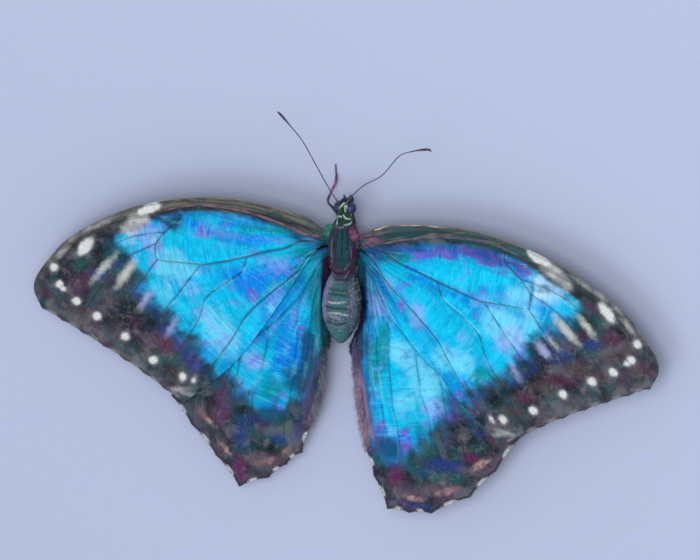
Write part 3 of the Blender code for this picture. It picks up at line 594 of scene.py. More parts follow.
# Where the shine turns from azure to other tones, the pale, lavender and milky ones being painted sheen: (out, back,
# radius out, radius back, weight)
TONES = {
    ("forewing", "left"): {
        "cyan": [(35, 6.5, 5, 4, 0.9), (36, 13, 4, 5, 1.0), (44.5, 6.3, 2.4, 1.8, 1.0), (32, 18, 5, 4, 0.8), (24, 6, 5, 2.5, 0.5), (20, 20, 5, 6, 0.6), (9, 2.5, 4, 2, 0.5), (29, 22, 4, 4, 0.6), (28.9, 5.5, 3.2, 2.6, 1.1), (6.6, 6.4, 2.0, 2.4, 0.9), (26, 15.0, 3.4, 3.2, 0.9), (14.5, 3.8, 3.4, 1.4, 0.6)],
        "pale": [(34, 10.5, 5, 1.4, 0.7), (24.4, 22.8, 3.4, 3.2, 0.9), (36, 15.5, 2.6, 3.2, 0.5), (27, 19, 3, 3, 0.5), (14, 16, 2, 4, 0.4), (35.2, 8.8, 3.2, 2.4, 1.1), (43.8, 6.0, 2.0, 1.6, 0.6)],
        "lavender_sheen": [(40.1, 3.8, 3.4, 2.4, 1.0), (38.6, 6.5, 1.6, 2.0, 0.7), (12.8, 6.8, 3.4, 1.5, 0.6), (31.5, 13.5, 3, 2, 0.6), (29, 18.6, 2.6, 2.6, 0.5), (24.4, 23.5, 2.6, 3.0, 0.6), (38.8, 9.6, 1.3, 1.1, 0.8)],
        "violet": [(28.3, 1.8, 2.4, 1.5, 1.1), (18.6, 13.3, 1.9, 1.6, 0.9), (22, -1.6, 3.2, 0.9, 0.6), (6.6, 6.2, 1.4, 1.2, 0.7), (22, 15.6, 2.2, 1.6, 0.5), (28.4, 24.4, 2.0, 1.6, 0.7)],
        "royal": [(17.3, 2.4, 5, 1.8, 0.8), (21.7, 11.1, 4, 3, 1.0), (16, 17, 3, 3, 0.5), (11, 11, 3, 3, 0.4), (18.7, 10.4, 3.4, 2.6, 0.9), (13.0, 7.6, 3.0, 1.8, 0.7)],
        "teal": [(7, 3.6, 4, 1.4, 0.8), (33.5, 2.2, 3.0, 1.6, 0.5), (10.5, 12.5, 1.6, 3.5, 0.8), (30, 24, 2.5, 2.5, 0.4), (13.0, -0.4, 4, 0.8, 0.6), (18.7, 0.0, 3.4, 1.2, 0.6), (8.8, 10.4, 1.5, 3.2, 0.9)],
        "shade": [(38.5, -0.8, 3.6, 1.4, 1.2), (34.8, 0.8, 1.5, 1.6, 0.9), (8.4, 0.3, 2.8, 1.5, 0.7), (36.0, -0.8, 2.4, 1.1, 0.9), (37.6, 6.2, 0.9, 2.2, 0.4)],
        "maroon": [(41.6, 9.4, 1.6, 1.6, 0.8), (48, 18, 3, 3, 0.5), (36.6, 25.5, 3.2, 2.6, 1.0), (53.5, 15.0, 2.2, 2.2, 0.7), (57, 8.4, 2.4, 2.0, 0.5), (43, 22, 2.2, 2.2, 0.5), (50.5, 9.6, 1.2, 1.0, 0.5), (61, 19.4, 1.6, 1.6, 0.5), (29.6, 29.5, 2.4, 2.0, 0.5)],
        "green": [(54.6, 12.4, 2.4, 1.6, 0.8), (47, 9.0, 3, 2, 0.6), (43.5, 16.4, 2.2, 2.2, 0.6), (61.0, 21.0, 2.4, 1.4, 0.7), (35.8, 28.0, 2, 2, 0.5), (46, 28, 3, 2, 0.4)],
        "brown": [(58.5, 12.5, 2.4, 2.2, 0.7), (54.0, 22.4, 3.4, 2.2, 0.8), (46.4, 23.4, 2.4, 2.0, 0.7), (40.5, 27.6, 2.4, 2.0, 0.6), (44.6, 17.6, 1.3, 1.6, 0.5), (34.5, 31.5, 2.6, 2.0, 0.6)],
        "navy": [(50, 13.4, 2.0, 1.6, 0.8), (41.5, 16.4, 1.8, 2.2, 0.8), (37, 20.6, 1.8, 2.2, 0.7), (31.5, 27.6, 2.2, 2.2, 0.6)],
    },
    ("forewing", "right"): {
        "cyan": [(22.4, 3.4, 5, 2.4, 1.0), (20.6, 12.1, 4, 3.4, 1.0), (46.3, 6.9, 2.8, 1.8, 1.1), (30, 3.4, 4, 2, 0.7), (36, 14, 4, 4, 0.6), (26, 17, 4, 4, 0.8), (22, 21, 4, 3, 0.8), (10, 5.4, 3, 3, 0.8), (33, 20, 3, 3, 0.6), (15, 9.5, 2, 3, 0.7), (32.4, 2.6, 2.6, 1.8, 0.7), (21, 11.8, 3.0, 2.6, 0.7)],
        "pale": [(36.1, 6.4, 2.8, 1.8, 1.0), (32.1, 12.3, 3.6, 2.8, 1.0), (21.5, 20.8, 3.4, 2.2, 0.8), (38.5, 10.6, 2.4, 2.4, 0.6), (25.4, 21.6, 1.6, 2.2, 0.8), (41.6, 4.4, 2.6, 2.0, 1.2), (34.4, 14.4, 3.4, 2.8, 0.8), (46.5, 6.0, 1.6, 1.4, 0.5), (42.0, 3.6, 2.4, 2.0, 0.8)],
        "lavender_sheen": [(41.5, 3.2, 3.2, 2.2, 1.1), (34.4, 16, 3.4, 3.0, 0.9), (15.3, 13.2, 2.0, 2.8, 0.8), (9.0, 7.6, 1.8, 2.4, 0.7), (28, 8.6, 2.4, 1.4, 0.5), (43.0, 7.0, 1.6, 1.4, 0.5), (24.6, 16.4, 2, 2, 0.5), (39.5, 7.2, 1.6, 1.6, 0.5)],
        "violet": [(20.1, 0.0, 3.4, 1.1, 1.1), (27.7, -1.2, 3.4, 1.0, 1.2), (31.4, 0.2, 1.8, 1.0, 1.0), (37.0, 0.0, 2.0, 1.4, 1.1), (12, 11.6, 1.2, 2.2, 0.7), (26.4, 7.4, 1.4, 1.0, 0.7), (36.0, 19.4, 1.6, 2.4, 0.7), (7.6, 12.2, 1.0, 1.6, 0.6), (16.0, 0.9, 1.8, 1.0, 0.9), (22.4, -0.4, 2.2, 1.0, 0.9), (29.6, 0.2, 2.2, 1.2, 1.0), (36.6, 1.6, 1.6, 1.4, 0.9), (23.6, 27.8, 1.6, 1.4, 0.7)],
        "royal": [(14.8, 0.8, 3.2, 1.4, 1.1), (15.7, 6.1, 2.4, 1.3, 1.1), (22.8, 8.8, 3.0, 1.6, 1.0), (33.0, 0.8, 2.4, 1.4, 0.8), (39.4, 9.0, 2.0, 1.6, 0.5), (25.8, 11.6, 2.4, 1.6, 0.6)],
        "teal": [(7.4, 1.4, 3.4, 1.6, 0.9), (12.0, 1.8, 4, 1.2, 0.8), (36.6, 23.0, 3.0, 3.0, 1.0), (31.0, 26.5, 3, 3, 1.0), (37.6, 13.4, 2.0, 3, 0.5), (13.0, -1.0, 4, 0.7, 0.7), (28.5, 24.0, 3.0, 2.2, 0.8)],
        "shade": [(34, -2.0, 4, 0.8, 0.9), (38.6, 4.8, 0.6, 3.2, 0.6), (40, -0.4, 2, 1, 0.6)],
        "maroon": [(49.5, 7.0, 3.2, 2.2, 0.9), (45.0, 9.6, 1.8, 1.2, 0.6), (54.5, 13.0, 2.4, 2.0, 0.7), (48.5, 12.6, 2.2, 1.4, 0.6), (44, 22.6, 3.6, 1.6, 1.0), (37.0, 27.0, 3.0, 1.6, 0.9), (62, 17.4, 2.0, 2.4, 0.7)],
        "green": [(52, 9.6, 2.2, 1.6, 0.7), (42.2, 13.6, 2.2, 2.4, 0.9), (50.0, 16.6, 3.0, 1.8, 0.6), (33.6, 27.4, 2.0, 1.6, 0.5), (61.6, 21.2, 1.6, 1.0, 0.5)],
        "brown": [(47.4, 19.6, 3.6, 1.5, 1.0), (40.8, 24.2, 3.4, 1.5, 1.0), (54.6, 17.0, 2.8, 1.6, 0.8), (57.6, 14.4, 2.0, 2.0, 0.7), (35, 29.8, 3.4, 1.5, 0.8), (46.0, 13.0, 1.6, 2.4, 0.6), (51.6, 21.4, 4, 1.4, 0.7), (59.5, 19.0, 2.4, 2.0, 0.7)],
        "navy": [(44.0, 17.4, 3.4, 2.2, 0.9), (50.5, 14.4, 2.4, 1.4, 0.8), (38.5, 20.6, 2.4, 2.2, 0.6)],
    },
    ("hindwing", "left"): {
        "cyan": [(20.4, 29.3, 3.6, 3.2, 1.0), (18, 26, 3, 3, 0.6), (12, 33.6, 2, 3, 0.6), (8, 16, 2, 3, 0.5), (6.6, 7.0, 2.0, 3.0, 1.0)],
        "pale": [(20, 26.6, 3.0, 2.0, 0.3)],
        "lavender_sheen": [(19, 27.4, 2.6, 2.0, 0.9), (22.4, 32.6, 1.8, 1.8, 0.5), (12.4, 24, 1.6, 3, 0.3)],
        "violet": [(9.3, 20.6, 1.5, 2.2, 0.8), (7.8, 24.4, 1.5, 2.0, 0.8), (8.4, 31.4, 1.2, 2.2, 0.9), (14.2, 37.4, 2.0, 1.6, 0.6), (8.6, 35.0, 1.3, 1.8, 0.9), (20.6, 36.6, 1.4, 1.2, 0.6)],
        "royal": [(12.0, 25.0, 3.0, 4.0, 0.9), (15, 37.4, 4, 2.4, 0.9), (10, 30, 2.4, 4, 0.6), (21.6, 25.2, 2.2, 2.2, 0.6), (13.2, 30.4, 3.0, 4.0, 0.7)],
        "teal": [(6.0, 18, 1.8, 6, 1.0), (17.0, 34.6, 3, 2, 0.4), (6.0, 10, 1.4, 4, 0.9), (13, 28, 1.4, 2, 0.3), (15.0, 31.4, 2.6, 3.6, 0.6)],
        "shade": [(15.6, 38.6, 5, 1.5, 0.8), (21.6, 35.6, 2, 2, 0.6), (7.8, 26.4, 1.4, 3.2, 1.1), (12.0, 30.0, 2.6, 4.0, 0.5), (9.6, 31.0, 1.6, 3.0, 0.6), (8.0, 22.6, 1.3, 3.0, 0.9)],
        "maroon": [(24.8, 36.0, 1.6, 4.2, 0.8), (22.5, 51.5, 1.6, 3.4, 1.3), (8.6, 37.4, 1.0, 2.8, 0.8), (26.8, 41.0, 2.0, 3.2, 0.5), (18.0, 41.0, 1.4, 3.0, 0.5)],
        "green": [(18.6, 42.0, 2.6, 2, 0.8), (24.6, 37.4, 2, 2, 0.5), (12.8, 41.6, 2, 2, 0.4), (21.0, 48.0, 1.4, 1.4, 0.4), (33, 35, 3, 3, 0.5)],
        "brown": [(30, 39, 1.5, 3.4, 0.8), (25.6, 45.4, 1.5, 2.6, 0.7), (17.5, 48.6, 3.4, 1.8, 1.1), (12.5, 46.4, 2.0, 1.8, 0.9), (26.6, 40, 1.3, 1.3, 0.4)],
        "navy": [(14.6, 43.6, 2.4, 1.8, 0.8), (22.2, 43.6, 2.0, 2.6, 0.8), (19.6, 39.6, 3.0, 2.0, 0.7), (10.6, 41.0, 1.6, 2.4, 0.7)],
    },
    ("hindwing", "right"): {
        "cyan": [(10.4, 28.0, 3.4, 5.5, 1.1), (16.6, 28.4, 3.6, 4.4, 1.1), (9.6, 35, 2, 3, 0.8), (22, 26, 3, 3, 0.7), (13, 19, 3, 4, 0.7), (26.5, 27.5, 3.0, 2.4, 0.8), (21.2, 23.6, 3.2, 3.0, 1.2), (11.4, 21.6, 3.2, 3.4, 1.1)],
        "pale": [(16.6, 27.4, 3.0, 4.4, 0.9), (11.4, 31.6, 2.4, 2.4, 0.6), (13.4, 24, 2, 3, 0.4), (11.2, 21.4, 2.4, 2.6, 0.8), (21.6, 24.2, 2.6, 2.6, 0.9), (21.4, 23.4, 2.0, 2.0, 0.6)],
        "lavender_sheen": [(18.4, 31.9, 2.4, 2.2, 1.0), (6.6, 12.5, 1.8, 3.0, 0.9), (11.8, 34.4, 1.2, 1.6, 0.5), (9.6, 39.0, 1.4, 2.2, 0.5), (10.6, 22, 1.4, 2, 0.3)],
        "violet": [(22.0, 29.6, 1.4, 3.2, 1.0), (7.6, 38.4, 1.1, 3.0, 1.0), (12.6, 38.4, 1.2, 2.6, 0.8), (21.0, 34.4, 1.6, 1.6, 0.8), (16.4, 35.6, 1.6, 1.2, 0.5), (5.6, 13, 0.8, 4, 0.6), (7.4, 39.2, 1.3, 2.0, 0.9), (11.8, 39.8, 1.5, 1.9, 0.9)],
        "royal": [(5.0, 24, 1.5, 6, 0.9), (10.4, 41.8, 1.8, 2.0, 0.9), (7.0, 33, 1.2, 4, 0.5), (10.2, 40.0, 2.6, 2.0, 0.9)],
        "teal": [(6.2, 23.6, 1.8, 5.5, 0.9), (25.0, 31.0, 3.0, 2.2, 1.0), (8.2, 20, 1.2, 5, 0.7), (15.6, 36.4, 2.2, 1.2, 0.5)],
        "shade": [(28.0, 31.6, 2.4, 1.6, 0.6), (4.2, 33, 0.8, 6, 0.8), (8.4, 42.0, 3.4, 1.8, 0.6), (9.4, 40.0, 3.0, 1.8, 0.45)],
        "maroon": [(22.6, 32.8, 1.3, 2.0, 0.8), (10.4, 46.4, 1.8, 2.6, 1.1), (25.9, 41.1, 2.6, 1.4, 0.9), (31.0, 36.0, 2.4, 1.6, 0.7), (21, 38.4, 2.2, 1.2, 0.5), (13.6, 50.0, 2.4, 1.0, 0.5)],
        "green": [(14.6, 45.0, 2.6, 2.0, 0.9), (22.6, 45.4, 2.2, 1.4, 0.9), (20.0, 40.6, 3, 1.4, 0.5), (17.0, 41.4, 2, 2, 0.6)],
        "brown": [(26.0, 43.6, 3.6, 1.2, 0.8), (18.0, 48.6, 4, 1.4, 0.9), (32.0, 37.4, 3, 1.4, 0.7), (12.0, 50.4, 3.0, 1.2, 0.7)],
        "navy": [(20.6, 43.2, 4.2, 1.5, 1.2), (15.6, 45.4, 2, 1.4, 0.6), (15.0, 52.6, 4, 1.2, 0.8), (5.6, 45.0, 1.2, 3.0, 0.7)],
    },
}
TONES["forewing", "left"]["milk_sheen"] = [(43.2, 4.2, 2.0, 1.4, 0.7), (38.6, 4.8, 1.6, 1.6, 0.5)]
TONES["forewing", "right"]["milk_sheen"] = [(41.8, 4.0, 3.0, 2.6, 1.5), (34.6, 15.0, 2.0, 2.4, 0.5), (38.0, 9.4, 1.6, 1.8, 0.4)]
for _side in ("left", "right"):
    TONES["hindwing", _side]["milk_sheen"] = [(0.0, -50.0, 1.0, 1.0, 0.0)]
TONE_NAMES = ("cyan", "milk_sheen", "pale", "lavender_sheen", "violet", "royal", "teal", "shade", "maroon", "green", "brown", "navy")
# Eyespots of the underside: (out, back, radius)
EYESPOTS = {
    "forewing": [(52.4, 12.6, 1.8), (48.3, 17.0, 2.5), (38.6, 22.4, 3.5)],
    "hindwing": [(21.8, 21.0, 4.0), (21.6, 35.4, 2.7), (17.0, 38.6, 3.1), (12.4, 37.6, 2.6)],
}


def wing_fields(wing, side, p, ring, hollow, lines):
    """Every number that the wing's materials read, at each point of the plan."""
    fields = {}
    closed = np.vstack([ring, ring[:1]])
    edge, _, _, _ = nearest(p, closed)
    fields["edge"] = edge
    outer = ring[hollow >= 0]
    marks = hollow[hollow >= 0]
    margin, k, t, _ = nearest(p, outer)
    fields["margin"] = margin
    step = marks[k] + (marks[np.minimum(k + 1, len(marks) - 1)] - marks[k]) * t
    fields["hollow"] = np.sin(math.pi * step) ** 2
    front = smooth_run(FOREWING_LEADING_EDGE if wing == "forewing" else HINDWING_LEADING_EDGE, RIM)
    fields["front"], _, _, _ = nearest(p, front)
    rise, flank, pale, pink = ridge(p, lines)
    fields["vein"], fields["vein_pale"], fields["vein_pink"] = flank, pale, pink
    area = catmull_rom(np.array(BLUE_AREA[wing, side] + BLUE_AREA[wing, side][:1]), 8)
    depth, _, _, _ = nearest(p, area)
    fields["blue"] = np.where(inside_ring(p, area[:-1]), depth, -depth)
    if wing == "forewing":
        fields["white"] = spots_field(p, FOREWING_SPOTS[side])
        fields["cream"] = spots_field(p, FOREWING_CREAM[side])
        fields["streak"] = spots_field(p, FOREWING_STREAKS[side])
        fields["glint"] = spots_field(p, COSTA_GLINT[side])
    else:
        fields["white"] = np.full(len(p), -9.0)
        fields["cream"] = np.full(len(p), -9.0)
        fields["streak"] = spots_field(p, HINDWING_LUNULES[side])
    for name in TONE_NAMES:
        fields[name] = tone_field(p, TONES[wing, side][name])
    near = np.full(len(p), 9.0)
    size = np.ones(len(p))
    for out, back, radius in EYESPOTS[wing]:
        share = np.hypot(p[:, 0] - out, (p[:, 1] - back) * 0.94) / radius
        size = np.where(share < near, radius, size)
        near = np.minimum(near, share)
    fields["eyespot"] = near
    root = np.array((2.0, 1.0)) if wing == "forewing" else np.array((3.5, 3.0))
    reach = np.linalg.norm(p - root, axis=1)
    angle = np.arctan2(p[:, 1] - root[1], p[:, 0] - root[0])
    own = {"forewing": 0.0, "hindwing": 40.0}[wing] + {"left": 0.0, "right": 90.0}[side]
    fields["plan"] = np.stack([p[:, 0], p[:, 1], np.full(len(p), own)], 1)
    fields["reach"] = reach
    fields["flow"] = np.stack([reach, angle * 24.0, np.full(len(p), own)], 1)
    return fields, rise, flank


def put_fields(mesh, fields):
    for name, values in fields.items():
        values = np.asarray(values, np.float32)
        if values.ndim == 2:
            mesh.attributes.new(name, "FLOAT_VECTOR", "POINT").data.foreach_set("vector", values.ravel())
        else:
            mesh.attributes.new(name, "FLOAT", "POINT").data.foreach_set("value", values)


def new_object(name, mesh, *materials):
    made = bpy.data.objects.new(name, mesh)
    for material in materials:
        mesh.materials.append(material)
    bpy.context.scene.collection.objects.link(made)
    return made


def build_wing(wing, side, materials):
    sign = SIDE[side]
    if wing == "forewing":
        ring, hollow = forewing_outline()
        height = forewing_height
    else:
        ring, hollow = hindwing_outline(side)
        height = hindwing_height(side)
    lines = veins_of(wing, side)
    points = [Vector(p) for p in np.vstack([ring, fill_points(ring, lines)])]
    rim = [(i, (i + 1) % len(ring)) for i in range(len(ring))]
    flat, _, faces, _, _, _ = delaunay_2d_cdt(points, rim, [], 1, 1e-6)
    p = np.array([v[:] for v in flat])
    faces = np.array([f[:] for f in faces], int)
    count = len(p)
    fields, rise, flank = wing_fields(wing, side, p, ring, hollow, lines)
    # between its veins the membrane sags in shallow pleats, and it wavers a little
    sag = -0.10 * (1 - np.exp(-((np.maximum(flank, 0) / 1.5) ** 2)))
    waver = 0.05 * np.sin(p[:, 0] * 0.52 + p[:, 1] * 0.21) * np.sin(p[:, 1] * 0.47 - p[:, 0] * 0.13 + 1.0)
    lift = (sag + waver) * np.clip(fields["edge"] / 2.0, 0, 1)
    middle = height(p) + lift
    half = 0.035 + (MEMBRANE / 2 - 0.035) * np.clip(fields["edge"] / 0.6, 0, 1)
    rise = np.minimum(rise, 0.20)
    top = place(p[:, 0], p[:, 1], middle + half + rise, sign)
    bottom = place(p[:, 0], p[:, 1], middle - half - 0.8 * rise, sign)
    if sign < 0:
        faces = faces[:, ::-1]
    pairs = np.vstack([faces[:, [0, 1]], faces[:, [1, 2]], faces[:, [2, 0]]])
    keys = set(map(tuple, pairs))
    rim = [(a, b) for a, b in map(tuple, pairs) if (b, a) not in keys]
    polygons = faces.tolist() + (faces[:, ::-1] + count).tolist()
    polygons += [(b, a, a + count, b + count) for a, b in rim]
    name = wing + "_" + side
    mesh = bpy.data.meshes.new(name + "_skin")
    mesh.from_pydata(np.vstack([top, bottom]).tolist(), [], polygons)
    put_fields(mesh, {key: np.concatenate([value, value]) for key, value in fields.items()})
    # an unwrap of the wing's own shape: its upper side above, its underside below
    low, size = p.min(0) - 0.5, np.ptp(p, axis=0) + 1.0
    share = (p - low) / size
    above = np.stack([share[:, 0], 0.505 + 0.49 * share[:, 1]], 1)
    below = np.stack([share[:, 0], 0.005 + 0.49 * share[:, 1]], 1)
    uv = mesh.uv_layers.new(name="OFBake")
    corner = np.zeros(len(mesh.loops), int)
    mesh.loops.foreach_get("vertex_index", corner)
    both = np.vstack([above, below])
    loops = both[corner]
    rim_start = len(faces) * 6
    loops[rim_start:] = above[corner[rim_start:] % count]
    uv.data.foreach_set("uv", loops.astype(np.float32).ravel())
    slot = np.zeros(len(mesh.polygons), np.int32)
    slot[len(faces) : 2 * len(faces)] = 1
    mesh.polygons.foreach_set("material_index", slot)
    mesh.shade_smooth()
    mesh.set_sharp_from_angle(angle=math.radians(62))
    made = new_object(name + "_skin", mesh, *materials)
    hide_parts(name)
    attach(made, "root")
    return made


# ============================================================ wing materials
def wing_top(wing, side):
    s = Shader(f"{wing} {side}, upper side")
    plan, flow = s.attr("plan", "Vector"), s.attr("flow", "Vector")
    big = s.noise(plan, 0.10, 1)
    mid = s.noise(plan, 0.21, 2, 0.5, 0.3)
    small = s.noise(plan, 0.55, 2, 0.5, 0.3)
    grain = s.noise(plan, 3.2, 2, 0.5)
    ripple = s.noise(s.scaled(flow, (1.20, 0.40, 1.0)), 1.0, 1, 0.5, 0.5)
    stroke = s.noise(s.scaled(flow, (0.14, 0.80, 1.0)), 1.0, 2, 0.5, 0.2)

    def tone(name, low, high, share=0.5, source=None):
        """Where a tone shows: its soft patch, broken up by noise."""
        wobble = s.math("SUBTRACT", source or mid, 0.5)
        return s.smooth(s.add(s.attr(name), s.mul(wobble, share * 2)), low, high)

    def patchy(scale=0.2, along=None):
        """Soft blotches of its own, or strokes along the wing."""
        if along:
            return s.noise(s.scaled(flow, along), 1.0, 2, 0.5, 0.3)
        return s.noise(plan, scale, 2, 0.5, 0.4)

    # the shining blue: azure and turquoise in long soft strokes
    blue = s.mix(s.smooth(patchy(along=(0.07, 0.30, 1.0)), 0.40, 0.60), "0a8ade", "05aeea")
    # stray soft strokes of every tone
    for along, hue, amount in (
        ((0.09, 0.30, 1.0), "04c4ec", 0.80), ((0.10, 0.34, 1.0), "0b70e0", 0.50),
        ((0.11, 0.38, 1.0), "7c96ee", 0.45), ((0.10, 0.32, 1.0), "0694a4", 0.40),
    ):
        blue = s.mix(s.mul(s.smooth(patchy(along=along), 0.52, 0.66), amount), blue, hue)
    blue = s.mix(s.mul(tone("royal", 0.15, 0.90, 0.4), 0.85), blue, "0c7ae8")
    blue = s.mix(s.mul(tone("cyan", 0.00, 0.60, 0.40), 0.90), blue, "02c2ee")
    blue = s.mix(s.mul(tone("teal", 0.10, 0.80, 0.4), 0.90), blue, "078c92")
    # painted sheen: pale, lavender and milky patches, stronger on the ripples' crests
    crest = s.smooth(ripple, 0.34, 0.70)
    blue = s.mix(s.mul(tone("pale", 0.05, 0.70, 0.35, small), s.blend(crest, 0.70, 0.95)), blue, "78d8fa")
    blue = s.mix(s.mul(tone("lavender_sheen", 0.10, 0.80, 0.45, small), s.blend(crest, 0.70, 0.92)), blue, "8ea6f2")
    if wing == "forewing":
        blue = s.mix(s.mul(tone("milk_sheen", 0.10, 0.80, 0.40, small), 0.92), blue, "b6dafc")
    purple = s.mix(s.smooth(small, 0.42, 0.62), "4a5cdc", "7c52c4")
    blue = s.mix(s.mul(tone("violet", 0.25, 0.90, 0.45, small), 0.85), blue, purple)
    spot = s.smooth(patchy(0.26), 0.60, 0.70)
    blue = s.mix(s.mul(spot, 0.50), blue, "6a6cdc")
    # darker towards the root, and a little between the veins' roots
    root = s.smooth(s.add(s.attr("reach"), s.mul(s.math("SUBTRACT", stroke, 0.5), 14.0)), 13.0, 3.5)
    blue = s.mix(s.mul(root, s.blend(s.smooth(s.attr("cyan"), 0.1, 0.8), 0.78, 0.25)), blue, s.mix(s.smooth(small, 0.40, 0.60), "0b4668", "0c5a74"))
    blue = s.mix(s.mul(s.smooth(stroke, 0.47, 0.30), 0.22), blue, "0766ac")
    # ripples across the cells, stronger away from the root, painted as highlights on their crests and shade in their
    # troughs; then painted sheen and shade in the fine grain
    far = s.smooth(s.add(s.attr("reach"), s.mul(mid, 8.0)), 12.0, 28.0)
    blue = s.mix(s.mul(s.smooth(ripple, 0.48, 0.70), far, 0.42), blue, "34d4f8")
    blue = s.mix(s.mul(s.smooth(ripple, 0.50, 0.30), far, 0.24), blue, "0678c0")
    blue = s.mix(s.mul(s.smooth(grain, 0.50, 0.72), 0.22), blue, "3ccef4")
    blue = s.mix(s.mul(s.smooth(grain, 0.50, 0.30), 0.16), blue, "0664a4")
    blue = s.mix(s.mul(tone("shade", 0.10, 0.70, 0.25), 0.85), blue, "0f4668")

    # the dark border: soft patches of sooty teal, maroon, navy and grey
    if wing == "forewing":
        dark = s.mix(s.smooth(mid, 0.40, 0.60), "1b2832", "354a58")
    else:
        dark = s.mix(s.smooth(mid, 0.40, 0.60), "152430", "24424e")
    for scale, hue, amount in ((0.17, "50304c", 0.60), (0.17, "24605f", 0.60), (0.20, "141c22", 0.80), (0.22, "7c7a86", 0.45)):
        dark = s.mix(s.mul(s.smooth(patchy(scale), 0.50, 0.66), amount), dark, hue)
    dark = s.mix(s.mul(tone("green", 0.10, 0.90, 0.3), 0.75), dark, "1f5a58")
    dark = s.mix(s.mul(tone("navy", 0.10, 0.90, 0.3), 0.85), dark, "1f3c7c")
    dark = s.mix(s.mul(tone("maroon", 0.10, 0.90, 0.3), 0.80), dark, "552a4a" if wing == "forewing" else "64285a")
    dark = s.mix(s.mul(tone("brown", 0.10, 0.95, 0.3), 0.80), dark, "4e4446" if wing == "forewing" else "665864")
    dark = s.mix(s.mul(s.smooth(stroke, 0.54, 0.72), 0.35), dark, "10181c")
    dark = s.mix(s.mul(s.smooth(small, 0.54, 0.70), 0.22), dark, "8c8890")
    dark = s.mix(s.mul(s.smooth(grain, 0.50, 0.74), 0.16), dark, "8e8c94")
    dark = s.mix(s.mul(s.smooth(grain, 0.48, 0.28), 0.22), dark, "0c1216")
    if wing == "forewing":
        # greyer towards the outer edge and the tip, with a little wine red inside that
        grey = s.smooth(s.add(s.attr("margin"), s.mul(s.math("SUBTRACT", mid, 0.5), 6.0)), 4.6, 0.2)
        far_out = s.node("ShaderNodeSeparateXYZ")
        s.put(far_out.inputs[0], plan)
        grey = s.mul(grey, s.smooth(far_out.outputs[0], 35.0, 42.0))
        dark = s.mix(s.mul(grey, s.blend(s.smooth(patchy(0.24), 0.42, 0.58), 0.10, 0.60)), dark, "706e78")
        dark = s.mix(s.mul(grey, s.smooth(patchy(0.30), 0.52, 0.64), 0.70), dark, "2b3c3c")
        ring = s.mul(s.smooth(s.attr("margin"), 1.4, 3.0), s.smooth(s.attr("margin"), 7.0, 4.4))
        dark = s.mix(s.mul(ring, s.smooth(patchy(0.4), 0.50, 0.66), 0.35), dark, "5c3a48")
    else:
        grey = s.smooth(s.add(s.attr("margin"), s.mul(s.math("SUBTRACT", mid, 0.5), 5.0)), 3.0, 0.4)
        dark = s.mix(s.mul(grey, s.blend(s.smooth(patchy(0.30), 0.42, 0.58), 0.10, 0.55)), dark, "5c4c64")

    wander = s.add(s.mul(s.math("SUBTRACT", mid, 0.5), 7.0), s.mul(s.math("SUBTRACT", stroke, 0.5), 6.0),
                   s.mul(s.math("SUBTRACT", small, 0.5), 1.6), s.mul(s.math("SUBTRACT", grain, 0.5), 0.8))
    shore = s.add(s.attr("blue"), wander)
    shine = s.smooth(shore, -2.2, 2.2)
    # between the blue and the border lies a dusky band of teal, navy and violet
    dusk = s.mix(s.smooth(mid, 0.42, 0.58), "144a64", "2a4486")
    dusk = s.mix(s.smooth(big, 0.52, 0.66), dusk, "14626e")
    dusk = s.mix(s.mul(s.smooth(stroke, 0.52, 0.64), 0.6), dusk, "4a3a7c")
    lowland = s.smooth(shore, -5.2, -0.6)
    if wing == "forewing":
        # a dusky strip lies just behind the front band
        strip = s.smooth(s.add(s.attr("front"), s.mul(s.math("SUBTRACT", stroke, 0.5), 3.0), s.mul(s.math("SUBTRACT", mid, 0.5), 3.0)), 7.4 if side == "right" else 5.0, 3.7 if side == "right" else 3.0)
        away = s.node("ShaderNodeSeparateXYZ")
        s.put(away.inputs[0], plan)
        strip = s.mul(strip, s.smooth(away.outputs[0], 39.5, 35.5))
        blue = s.mix(s.mul(strip, 0.72 if side == "right" else 0.58), blue, s.mix(s.smooth(small, 0.40, 0.60), "173f80", "4a3f92" if side == "right" else "2c5a9c"))
        # the blue stays sharp along the front of the forewing
        crisp = s.smooth(s.add(s.attr("blue"), s.mul(s.math("SUBTRACT", small, 0.5), 1.4)), -0.5, 0.6)
        ahead = s.smooth(s.attr("front"), 5.4, 3.2)
        shine = s.blend(ahead, shine, crisp)
        lowland = s.blend(ahead, lowland, crisp)
    colour = s.mix(s.mul(lowland, 0.80), dark, dusk)
    colour = s.mix(shine, colour, blue)

    # the front edge: a band with its rims and ridges
    line = s.smooth(s.attr("vein"), 0.12, -0.10)
    if wing == "forewing":
        place_of = s.node("ShaderNodeSeparateXYZ")
        s.put(place_of.inputs[0], plan)
        out = place_of.outputs[0]
        if side == "left":
            light, deep, rim_hue = "6b6e66", "2a3238", "a09a88"
        else:
            light, deep, rim_hue = "375a60", "1c4750", "8f8a80"
        band = s.mix(s.smooth(s.add(s.attr("front"), s.mul(s.math("SUBTRACT", mid, 0.5), 1.2)), 1.2, 2.1), light, deep)
        band = s.mix(s.mul(s.smooth(patchy(0.3), 0.52, 0.64), 0.5), band, "34343f")
        band = s.mix(s.mul(s.smooth(patchy(0.25), 0.52, 0.66), 0.5), band, "24564c")
        band = s.mix(s.mul(s.smooth(stroke, 0.55, 0.68), 0.4), band, "8f8c84")
        band = s.mix(s.mul(s.smooth(s.attr("front"), 0.30, 0.06), s.smooth(out, 50.0, 40.0), 0.75), band, rim_hue)
